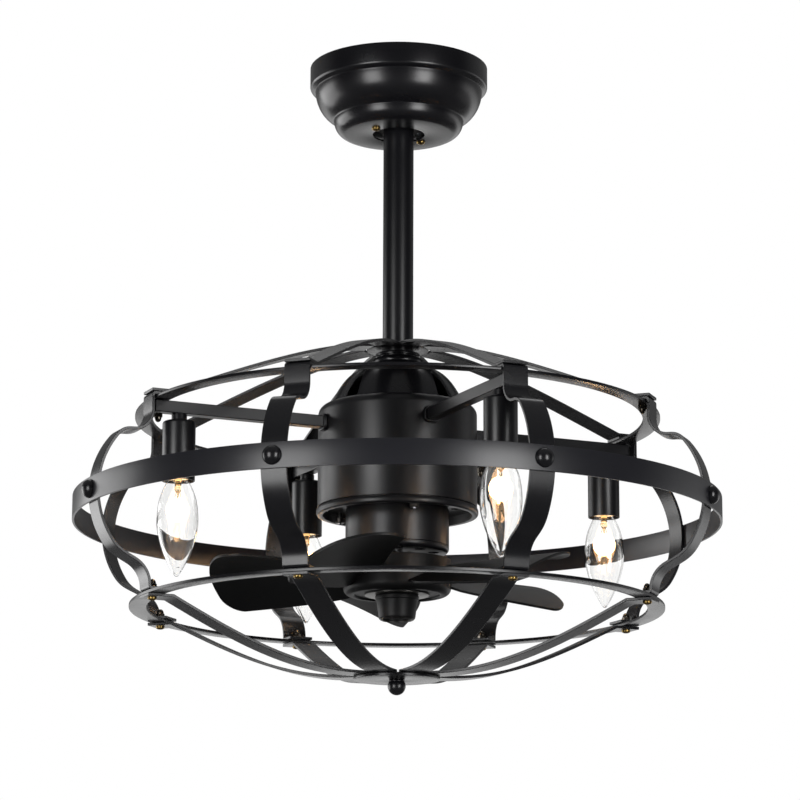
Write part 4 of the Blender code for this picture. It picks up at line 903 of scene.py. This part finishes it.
def long_screw(name, place):
    """A screw that stands under the base plate, with its nut and its threaded end."""
    shank, wide, nut_foot, nut_top, chamfer, foot_chamfer = 0.0022, 0.0040, 0.0038, 0.0086, 0.0006, 0.0004
    nut_rim = nut_top - chamfer
    nut = [(0, 0), (shank, 0), (shank, nut_foot), (wide, nut_foot + foot_chamfer), (wide, nut_rim),
           (wide - chamfer, nut_top), (0, nut_top)]
    root, crest, tip, rise, rises = 0.0014, 0.0017, 0.0010, 0.0003, 8
    thread = [(0, nut_rim), (root, nut_rim)]
    thread += [(root if step % 2 else crest, nut_rim + rise * step) for step in range(1, rises)]
    thread += [(tip, nut_rim + rise * rises), (0, nut_rim + rise * rises)]
    for part_name, outline, finish in ((f"{name}_nut", nut, "nickel"), (name, thread, "ground")):
        turned(part_name, outline, finish, sides=24, ease=0, closed=False, place=upright(place))


class FAN_OT_motor(bpy.types.Operator):
    """Draw the motor can and its vented end plate"""
    bl_idname = "fan.motor"
    bl_label = "Motor"

    def execute(self, context):
        size = settings().motor
        top, foot, radius, wall, rounding = CAN_HIGH.z, CAN_LOW.z, CAN_HIGH.x, size.wall, size.can_round
        can = [(size.shaft_hole, top)] + bend((radius - rounding, top - rounding), rounding, 90, 0)
        can += [(radius, foot), (radius - wall, foot), (radius - wall, top - rounding),
                (radius - rounding, top - wall), (size.shaft_hole, top - wall)]
        turned("motor_can_drawn", can, "drum_coat", "motor_can", ease=0.0003)
        add_end_plate(size, radius)
        return {"FINISHED"}


def add_end_plate(size, radius):
    """The motor's lower cover with its vent holes, a dish round the shaft and three small screws in it."""
    foot, rim_top, top = END_LOW.z, END_LOW.z + size.plate_height, END_HIGH.z
    rounding, wall, hole, dish = size.plate_round, size.plate_wall, size.shaft_hole, foot + size.dish_depth
    spigot = radius - size.wall - GAP
    outline = [(hole, dish), (size.dish, dish), (size.dish, foot)]
    outline += bend((radius - rounding, foot + rounding), rounding, -90, 0)
    outline += [(radius, rim_top), (spigot, rim_top), (spigot, top), (spigot - SHEET, top),
                (spigot - SHEET, foot + rounding), (radius - rounding, foot + wall), (hole, foot + wall)]
    plate = turned("motor_end_cover", outline, "drum_coat", "motor_end_plate", ease=0.0003)
    through = flat_ring(0, size.vent_radius, foot + OVERRUN, foot - OVERRUN)
    cut_away(plate, [revolved(through, 32, False, Matrix.Translation(at_heading(heading, size.vent_place, 0)))
                     for heading in headings(size.vent_heading, size.vents)])
    soften(plate, 0.0003)
    for index in range(3):
        screw_head(f"motor_screw_{index + 1}", at_heading(120 * index - 10, size.screw_place, dish), "nickel",
                   SMALL_SCREW)


# The rotor

class FAN_OT_rotor(bpy.types.Operator):
    """Mould the hub, the blades and the knob"""
    bl_idname = "fan.rotor"
    bl_label = "Rotor"

    def execute(self, context):
        size = settings().rotor
        foot = KNOB_HIGH.z + GAP
        add_hub(size, foot)
        for index, heading in enumerate(headings(size.blade_heading, size.blades)):
            add_blade(size, foot, f"fan_blade_{index + 1}", heading)
        add_knob(size)
        return {"FINISHED"}


def add_hub(size, foot):
    """The hub: an open cup with a groove round its face, and a plated washer let in inside the groove."""
    radius, wall, rounding = size.hub_radius, size.hub_wall, size.hub_round
    top, floor, sunk, let_in = (foot + rise for rise in (size.hub_height, wall, size.recess_depth,
                                                         size.recess_depth / 2))
    outer, inner, bore, boss = size.recess_outer, size.recess_inner, size.shaft_bore, size.hub_boss
    bevel, bevel_rise, play, seat_gap = 0.0008, 0.0005, 0.0002, 0.00005
    outline = [(radius - wall, top), (radius, top)]
    outline += bend((radius - rounding, foot + rounding), rounding, 0, -90, 10)
    outline += [(outer + bevel, foot), (outer, foot + bevel_rise), (outer, sunk), (inner, sunk),
                (inner, let_in), (bore, let_in), (bore, top - wall), (boss, top - wall), (boss, floor),
                (radius - rounding, floor), (radius - wall, foot + rounding)]
    turned("rotor_hub", outline, "moulding", "blade_set", "rotor")
    washer = flat_ring(bore, inner - play, let_in - seat_gap, foot)
    turned("hub_washer", washer, "nickel", body="rotor", ease=0.0002)


def blade_edge(size, side, share):
    """How far a blade reaches to one side at a share of its length."""
    root = size.blade_root_raised if side > 0 else size.blade_root_low
    swell = share if side > 0 else share ** 0.55
    return side * (root + (size.blade_half - root) * swell)


def blade_point(size, foot, across, along):
    """A point of a blade's middle surface, across from -1 to 1 and along from root to tip."""
    seat = size.hub_radius - size.hub_wall / 2
    past = max(0.0, abs(across) * size.blade_half - (size.blade_half - size.blade_corner))
    tip = size.blade_tip - size.blade_bow * across ** 2
    tip -= size.blade_corner - math.sqrt(size.blade_corner ** 2 - past ** 2)
    side_sign = 1 if across > 0 else -1
    side, root_side = (abs(across) * blade_edge(size, side_sign, share) for share in (along, 0.0))
    root = math.sqrt(seat ** 2 - root_side ** 2)
    height = size.blade_seat + math.tan(size.blade_pitch) * side
    height -= size.blade_camber * (side / size.blade_half) ** 2
    return Vector((root + (tip - root) * along, side, foot + height))


def add_blade(size, foot, name, heading):
    """One pitched and cambered blade with a rounded rim."""
    bm = bmesh.new()
    rows, columns = 18, 28
    alongs = [math.sin(math.pi / 2 * row / rows) for row in range(rows + 1)]
    acrosses = [math.sin(math.pi / 2 * (2 * column / columns - 1)) for column in range(columns + 1)]
    grid = [[bm.verts.new(blade_point(size, foot, across, along)) for across in acrosses] for along in alongs]
    for near, far in zip(grid, grid[1:]):
        for column in range(columns):
            bm.faces.new((near[column], far[column], far[column + 1], near[column + 1]))
    put(bm, heading_matrix(heading))
    blade = new_piece(name, bm, "moulding", body="rotor", sharp_deg=60.0)
    solid = blade.modifiers.new("thickness", "SOLIDIFY")
    solid.thickness = size.blade_thickness
    solid.offset = 0.0
    soften(blade, size.blade_thickness * 0.35, 2, 60.0)


def add_knob(size):
    """The tapered knob under the hub, with a plated rim let into its end."""
    top, foot, radius, end = KNOB_HIGH.z, KNOB_LOW.z, KNOB_HIGH.x, size.knob_foot
    collar_foot, bore_end, rim = top - size.knob_collar, top - size.knob_bore, end - size.knob_rim
    waist, recess = size.knob_waist, foot + size.knob_recess
    edge, lower_edge, end_edge, groove = 0.0008, 0.0012, 0.0004, 0.0003
    outline = [(0, bore_end), (size.shaft_bore, bore_end), (size.shaft_bore, top), (radius - edge, top)]
    outline += bend((radius - edge, top - edge), edge, 90, 0, 4)
    outline += bend((radius - lower_edge, collar_foot + lower_edge), lower_edge, 0, -80, 5)
    outline += [(waist, collar_foot - groove), (waist, collar_foot - edge),
                (end + end_edge, foot + lower_edge), (end - end_edge, foot), (rim, foot), (rim, recess),
                (0, recess)]
    turned("spinner_knob_turned", outline, "moulding", "spinner_knob", "rotor", ease=0.0003, closed=False)
    ring = [(rim + 0.0001, foot + 0.0003), (rim + 0.0001, foot - 0.0006), (rim + 0.0012, foot - 0.0010),
            (end - 0.0007, foot - 0.0004), (end - 0.0003, foot + 0.0003)]
    turned("knob_end_ring", ring, "nickel", body="rotor", sides=72, ease=0.0003)


# The cage

class FAN_OT_cage_rings(bpy.types.Operator):
    """Bend the cage's rings and band, with the rivets, the disc and the finial"""
    bl_idname = "fan.cage_rings"
    bl_label = "Cage rings"

    def execute(self, context):
        cage = settings().cage
        for name, radius, top in (("upper_ring", cage.upper_radius, UPPER_HIGH.z),
                                  ("lower_ring", cage.lower_radius, LOWER_HIGH.z)):
            outline = flat_ring(radius - cage.ring_width, radius, top, top - cage.thickness)
            turned(f"{name}_bar", outline, "coat", name, sides=192)
        band = flat_ring(cage.band_radius - cage.band_thickness, cage.band_radius, BAND_HIGH.z, BAND_LOW.z)
        turned("equator_band_bar", band, "band_painted_sheen", "equator_band", sides=192)
        add_rivets(cage)
        add_centre_pieces(cage)
        return {"FINISHED"}


def add_rivets(cage):
    """The domed rivets that hold the ribs to the band."""
    sunk = -0.0005
    dome = [(0, sunk), (cage.rivet_radius, sunk)]
    dome += arc((0, 0), (cage.rivet_radius, cage.rivet_height), 0, 90, 14)
    seat = Matrix.Translation((cage.band_radius, 0, BAND_MIDDLE)) @ Matrix.Rotation(math.pi / 2, 4, "Y")
    for index, heading in enumerate(headings(cage.heading, cage.ribs)):
        turned(f"band_rivet_{index + 1}", dome, sides=32, ease=0, closed=False,
               place=heading_matrix(heading) @ seat)


def add_centre_pieces(cage):
    """The ring round the rod, the disc at the bottom, and the finial under it."""
    top = CENTRE_HIGH.z
    ring = flat_ring(ROD_HIGH.x + GAP, CENTRE_HIGH.x - GAP, top, top - cage.thickness)
    turned("centre_ring_plate", ring, "coat", "centre_ring", sides=72)
    disc = flat_ring(cage.disc_bore, DISC_HIGH.x, DISC_HIGH.z, DISC_LOW.z)
    turned("bottom_disc_plate", disc, "coat", "bottom_disc", ease=0.0006)
    shoulder, ball, stud = DISC_LOW.z - GAP, FINIAL_HIGH.x, 0.003
    neck, waist, neck_height, waist_height = 0.0068, 0.0056, 0.0010, 0.0016
    outline = [(0, FINIAL_HIGH.z), (stud, FINIAL_HIGH.z), (stud, shoulder), (neck, shoulder),
               (neck, shoulder - neck_height), (waist, shoulder - waist_height)]
    outline += bend((0, FINIAL_LOW.z + ball), ball, 46, -90, 16)
    turned("finial_ball", outline, "coat", "finial", sides=48, ease=0.0003, closed=False)


class FAN_OT_cage_bars(bpy.types.Operator):
    """Bend the ribs, the dome's bars and the basket's bars"""
    bl_idname = "fan.cage_bars"
    bl_label = "Cage bars"

    def execute(self, context):
        cage = settings().cage
        upper, lower = (ring + cage.gap + cage.thickness / 2 for ring in (UPPER_HIGH.z, LOWER_HIGH.z))
        rib = rib_half(cage, upper, 1) + rib_half(cage, lower, -1)[-2::-1]
        flat_bars(cage, "rib_bar", rib, "rib")
        flat_bars(cage, "dome_bar", dome_line(cage, upper + cage.thickness + cage.gap), "top_strap")
        flat_bars(cage, "basket_bar", basket_line(cage), "bottom_strap")
        return {"FINISHED"}


def flat_bars(cage, name, line, stands_for):
    """Like flat bars along a centre line, each on its own heading."""
    outline = beside(line, cage.thickness / 2) + beside(line, -cage.thickness / 2)[::-1]
    corners = [(radius, -cage.width / 2, height) for radius, height in outline]
    for index, heading in enumerate(headings(cage.heading, cage.ribs)):
        bm = pushed_out(corners, (0, cage.width, 0))
        put(bm, heading_matrix(heading))
        soften(new_piece(f"{name}_{index + 1}", bm, "coat", f"{stands_for}_{index + 1}"), cage.edge)


def flange_end(cage):
    """The radius at which the bars' flanges end."""
    return cage.upper_radius + cage.gap + cage.thickness


def rib_half(cage, flange_z, side):
    """One half of a rib's centre line, from its flange to the belly. Side is 1 above the band."""
    neck, corner = cage.upper_radius + cage.gap + cage.thickness / 2, cage.flange_bend
    line = [(flange_end(cage) - cage.flange, flange_z)]
    line += bend((neck - corner, flange_z - side * corner), corner, 90 * side, 0, 4)
    start, radius, sweep, reached = cage.neck_half, cage.neck_bend, math.pi / 2, cage.belly_angle
    if side < 0:
        start, radius, sweep, reached = (cage.foot_start, cage.foot_bend, cage.foot_sweep,
                                         cage.foot_belly_angle)
    line += bend((neck + radius, BAND_MIDDLE + side * start), radius, 180,
                 180 + math.degrees(sweep) * side, 12)
    reach = cage.band_radius - cage.band_thickness - cage.gap - cage.thickness / 2
    belly = bend((reach - cage.belly, BAND_MIDDLE), cage.belly, side * math.degrees(reached), 0, 16)
    shelf, shoulder = Vector(line[-1]), Vector(belly[0])
    ease = (shoulder - shelf).length * 0.4
    leaving, arriving = (Vector((math.sin(turn), -side * math.cos(turn))) * ease for turn in (sweep, reached))
    return line + smooth_curve((shelf, shelf + leaving, shoulder - arriving, shoulder), 12) + belly


def down_slope(point, slope_deg, distance):
    """A point beyond another, down a slope."""
    turn = math.radians(slope_deg)
    return (point[0] + distance * math.cos(turn), point[1] - distance * math.sin(turn))


def swept_bar(cage, first, start, end, start_slope, end_slope, start_share, end_share):
    """A bar's centre line: a smooth curve between two slopes in degrees, then a level flange."""
    span = end[0] - start[0]
    controls = (start, down_slope(start, start_slope, span * start_share),
                down_slope(end, end_slope, -span * end_share), end)
    return first + [start] + smooth_curve(controls, 28) + [end, (flange_end(cage), end[1])]


def dome_line(cage, flange_z):
    """The centre line of a bar of the dome."""
    start = (CENTRE_HIGH.x + cage.gap - GAP, CENTRE_HIGH.z - cage.thickness / 2)
    return swept_bar(cage, [], start, (flange_end(cage) - cage.flange, flange_z), 4.0, 22.0, 0.27, 0.43)


def basket_line(cage):
    """The centre line of a bar of the basket."""
    seat = DISC_HIGH.z + cage.gap + cage.thickness / 2
    flange_z = LOWER_LOW.z - cage.gap - cage.thickness / 2
    start, end = (cage.basket_start, seat), (cage.basket_reach, flange_z)
    return swept_bar(cage, [(cage.basket_end, seat)], start, end, 0.0, -26.6, 0.36, 0.36)


class FAN_OT_fasteners(bpy.types.Operator):
    """Set the cage's screws and dome nuts"""
    bl_idname = "fan.fasteners"
    bl_label = "Fasteners"

    def execute(self, context):
        cage = settings().cage
        upper, lower = cage.upper_radius - cage.nut_inset, cage.lower_radius - cage.nut_inset
        bar = cage.gap + cage.thickness
        for index, heading in enumerate(headings(cage.heading, cage.ribs)):
            number, on_arm = index + 1, index % 2 == 0
            under = ARM_LOW.z + cage.arm_nut_seat if on_arm else UPPER_LOW.z
            screw_head(f"dome_screw_{number}", at_heading(heading, upper, UPPER_HIGH.z + 2 * bar), "coat",
                       COAT_SCREW, facing_up=True)
            dome_nut(f"dome_nut_{number}", at_heading(heading, upper, under))
            dome_nut(f"basket_nut_{number}", at_heading(heading, lower, LOWER_HIGH.z + bar), facing_up=True)
            screw_head(f"basket_screw_{number}", at_heading(heading, lower, LOWER_LOW.z - bar), "brass",
                       BRASS_SCREW)
        return {"FINISHED"}


# The lamps

class FAN_OT_lamps(bpy.types.Operator):
    """Fit the arms, the sockets and the lit candle bulbs"""
    bl_idname = "fan.lamps"
    bl_label = "Lamps"

    def execute(self, context):
        size = settings().lamps
        for index, heading in enumerate(headings(settings().cage.heading, size.lamps)):
            turn = heading_matrix(heading)
            add_arm(size, turn, index + 1)
            stand = turn @ Matrix.Translation((size.place, 0, 0))
            for add in (add_socket, add_bulb, add_lamp_light):
                add(size, stand, index + 1)
        return {"FINISHED"}


def add_arm(size, turn, number):
    """A square arm from the drum to the upper ring, with its collar at the drum."""
    middle = (ARM_LOW.z + ARM_HIGH.z) / 2
    near, half, collar = DRUM_HIGH.x + GAP, size.arm_half, size.collar_half
    arm = box_shape((near, -half, middle - half), (size.arm_end, half, middle + half))
    start, end, corner_share = near - size.collar_sunk, near + size.collar_length, 0.6
    plate = box_shape((start, -collar, middle - collar), (end, collar, middle + collar))
    long_edges = [edge for edge in plate.edges if abs(edge.verts[0].co.x - edge.verts[1].co.x) > GAP]
    bmesh.ops.bevel(plate, geom=long_edges, offset=collar * corner_share, segments=6, profile=0.5,
                    affect="EDGES")
    for bm in (arm, plate):
        put(bm, turn)
    soften(new_piece(f"lamp_arm_{number}", arm, "tube_coat", f"light_arm_{number}"), 0.0008, 3)
    soften(new_piece(f"arm_collar_{number}", plate, "tube_coat"), 0.0010, 3)


def add_socket(size, stand, number):
    """A lamp holder: a neck, a cup with a rolled rim, and a pale lining with a painted warm glow of the
    bulb's light.
    """
    top, foot = SOCKET_HIGH.z, SOCKET_LOW.z
    radius, rim, bore = size.cup_radius, size.cup_round, size.cap_bore
    cup_top, mouth, mouth_top = top - size.neck_height, radius - size.socket_wall, foot + size.mouth_depth
    floor = foot + size.cap_depth
    outline = [(0, top), (size.neck_radius, top), (size.neck_radius, cup_top)]
    outline += bend((radius - rim, cup_top - rim), rim, 90, 0)
    outline += [(radius, foot), (mouth, foot), (mouth, mouth_top), (bore, mouth_top), (bore, floor),
                (0, floor)]
    turned(f"socket_cup_{number}", outline, "lamp_coat", f"light_socket_{number}", sides=56, closed=False,
           place=stand)
    # The lining shines with a painted warm glow, in place of the bulb's light.
    outside, inside, low, high = mouth - 0.0002, mouth - 0.0012, foot + 0.0035, foot + 0.0110
    tube, tube_lip, tube_outside, head = 0.0082, 0.0090, 0.0096, mouth_top - GAP
    lining = [(outside, low), (outside, head), (tube, head), (tube, foot + 0.0030),
              (tube_lip, foot + 0.0022), (tube_outside, low), (tube_outside, high), (inside, high),
              (inside, low)]
    turned(f"socket_lining_{number}", lining, "porcelain_painted_glow", sides=40, ease=0.0002, place=stand)


def bulb_outline():
    """The bulb's outside, from its neck to its tip, in shares of its reach and its radius."""
    mouth, reach, radius = SOCKET_LOW.z, SOCKET_LOW.z - BULB_LOW.z, (BULB_HIGH.x - BULB_LOW.x) / 2
    shares = ((0.0, 0.53), (0.04, 0.62), (0.10, 0.745), (0.16, 0.85), (0.22, 0.92), (0.30, 0.975),
              (0.38, 1.0), (0.45, 1.0), (0.53, 0.96), (0.60, 0.89), (0.68, 0.79), (0.77, 0.64), (0.85, 0.475),
              (0.91, 0.325), (0.955, 0.215), (0.985, 0.125), (0.996, 0.065), (1.0, 0.0))
    return [(radius * wide, mouth - reach * deep) for deep, wide in shares]


def smoothed_outline(points):
    """A finer outline through the same points, by cubic interpolation."""
    made = []
    padded = [Vector(point) for point in (points[0], *points, points[-1])]
    for before, here, there, after in zip(padded, padded[1:], padded[2:], padded[3:]):
        for share in (0, 1 / 3, 2 / 3):
            point = 0.5 * ((2 * here) + (there - before) * share
                           + (2 * before - 5 * here + 4 * there - after) * share ** 2
                           + (3 * here - before - 3 * there + after) * share ** 3)
            made.append((max(point.x, 0.0), point.y))
    return made + [points[-1]]


def add_bulb(size, stand, number):
    """A clear candle bulb: a thin shell, its cap, a glass stem and a lit filament."""
    mouth, depth_share = SOCKET_LOW.z, 0.985
    neck = [(0.0058, mouth + 0.0128), (0.0062, mouth + 0.0100), (0.0075, mouth + 0.0050)]
    outside = neck + smoothed_outline(bulb_outline())
    thinner = 1 - size.glass_wall / max(radius for radius, height in outside)
    inside = [(radius * thinner, height if height > mouth else mouth + (height - mouth) * depth_share)
              for radius, height in outside]
    turned(f"bulb_glass_{number}", inside[::-1] + outside, "glass", f"light_bulb_{number}", sides=64, ease=0,
           closed=False, place=stand)
    cap = [(0, 0.0255), (0.0045, 0.0255), (0.0060, 0.0240), (0.0060, 0.0140), (0.0052, 0.0118), (0, 0.0118)]
    stem = [(0, 0.0112), (0.0044, 0.0108), (0.0031, 0.0060), (0.0029, -0.0038)]
    stem += bend((0, -0.0066), 0.0033, 48, -62, 8)
    stem += [(0.0011, -0.0104), (0.0008, -0.0150), (0, -0.0158)]
    for name, outline, finish, sides in (("bulb_cap", cap, "brass", 32), ("bulb_stem", stem, "stem", 28)):
        turned(f"{name}_{number}", [(radius, mouth + height) for radius, height in outline], finish,
               sides=sides, ease=0.0003, closed=False, place=stand)
    add_filament(stand @ Matrix.Translation((0, 0, mouth)), number)


def add_filament(stand, number):
    """A coiled filament that zigzags between two lead wires."""
    corners = [Vector((x, 0, z)) for x, z in ((-0.0076, -0.0236), (-0.0048, -0.0360), (0, -0.0290),
                                              (0.0048, -0.0360), (0.0076, -0.0236))]
    route, steps, turns = [], 220, 36
    coil_width, coil_depth, coil_wire, lead_wire = 0.0009, 0.0010, 0.00045, 0.00018
    for step in range(steps + 1):
        along = step / steps * (len(corners) - 1)
        leg = min(int(along), len(corners) - 2)
        coil = step / steps * math.tau * turns
        route.append(corners[leg].lerp(corners[leg + 1], along - leg)
                     + Vector((coil_width * math.cos(coil), coil_depth * math.sin(coil), 0)))
    wire(f"bulb_filament_{number}", route, coil_wire, "filament", stand)
    for side, letter in ((-1, "a"), (1, "b")):
        bends = ((0.0014, -0.0085), (0.0030, -0.0150), (0.0076, -0.0236))
        lead = [Vector((side * x, 0, z)) for x, z in bends]
        wire(f"bulb_lead_{number}_{letter}", lead, lead_wire, "nickel", stand)


def wire(name, route, radius, finish, stand):
    """A thin round wire along a route."""
    curve = bpy.data.curves.new(name, "CURVE")
    curve.dimensions = "3D"
    curve.bevel_depth = radius
    curve.bevel_resolution = 2
    curve.use_fill_caps = True
    spline = curve.splines.new("POLY")
    spline.points.add(len(route) - 1)
    for point, place in zip(spline.points, route):
        point.co = (*(stand @ place), 1.0)
    curve.materials.append(finishes()[finish])
    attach(placed(name, curve), "hanging_fan")


def add_lamp_light(size, stand, number):
    """The warm light of a bulb."""
    data = bpy.data.lights.new(f"candle_light_{number}", "POINT")
    data.energy = settings().studio.lamp_power
    data.color = (1.0, 0.56, 0.24)
    data.shadow_soft_size = 0.012
    lamp, under_mouth = placed(data.name, data), 0.024
    lamp.location = stand @ Vector((0, 0, SOCKET_LOW.z - under_mouth))
    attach(lamp, "hanging_fan")


class CagedFanSettings(bpy.types.PropertyGroup):
    """All the fan's settings, by group."""
    colours: PointerProperty(type=FanFinishColours)
    studio: PointerProperty(type=FanStudioSettings)
    canopy: PointerProperty(type=FanCanopySizes)
    drop: PointerProperty(type=FanDropSizes)
    motor: PointerProperty(type=FanMotorSizes)
    rotor: PointerProperty(type=FanRotorSizes)
    cage: PointerProperty(type=FanCageSizes)
    lamps: PointerProperty(type=FanLampSizes)


STEPS = (FAN_OT_stage, FAN_OT_canopy, FAN_OT_hidden_parts, FAN_OT_drop, FAN_OT_motor, FAN_OT_rotor,
         FAN_OT_cage_rings, FAN_OT_cage_bars, FAN_OT_fasteners, FAN_OT_lamps)


class FAN_PT_panel(bpy.types.Panel):
    """The fan's steps in the sidebar"""
    bl_idname = "FAN_PT_panel"
    bl_label = "Caged fan"
    bl_space_type = "VIEW_3D"
    bl_region_type = "UI"
    bl_category = "Fan"

    def draw(self, context):
        for step in STEPS:
            self.layout.operator(step.bl_idname)


CLASSES = (FanFinishColours, FanStudioSettings, FanCanopySizes, FanDropSizes, FanMotorSizes, FanRotorSizes,
           FanCageSizes, FanLampSizes, CagedFanSettings, *STEPS, FAN_PT_panel)


def register():
    for item in CLASSES:
        bpy.utils.register_class(item)
    bpy.types.Scene.caged_fan = PointerProperty(type=CagedFanSettings)


def unregister():
    del bpy.types.Scene.caged_fan
    for item in reversed(CLASSES):
        bpy.utils.unregister_class(item)


def main():
    """Register the add-on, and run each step."""
    register()
    bpy.ops.fan.stage()
    bpy.ops.fan.canopy()
    bpy.ops.fan.hidden_parts()
    bpy.ops.fan.drop()
    bpy.ops.fan.motor()
    bpy.ops.fan.rotor()
    bpy.ops.fan.cage_rings()
    bpy.ops.fan.cage_bars()
    bpy.ops.fan.fasteners()
    bpy.ops.fan.lamps()


if __name__ == "__main__":
    main()
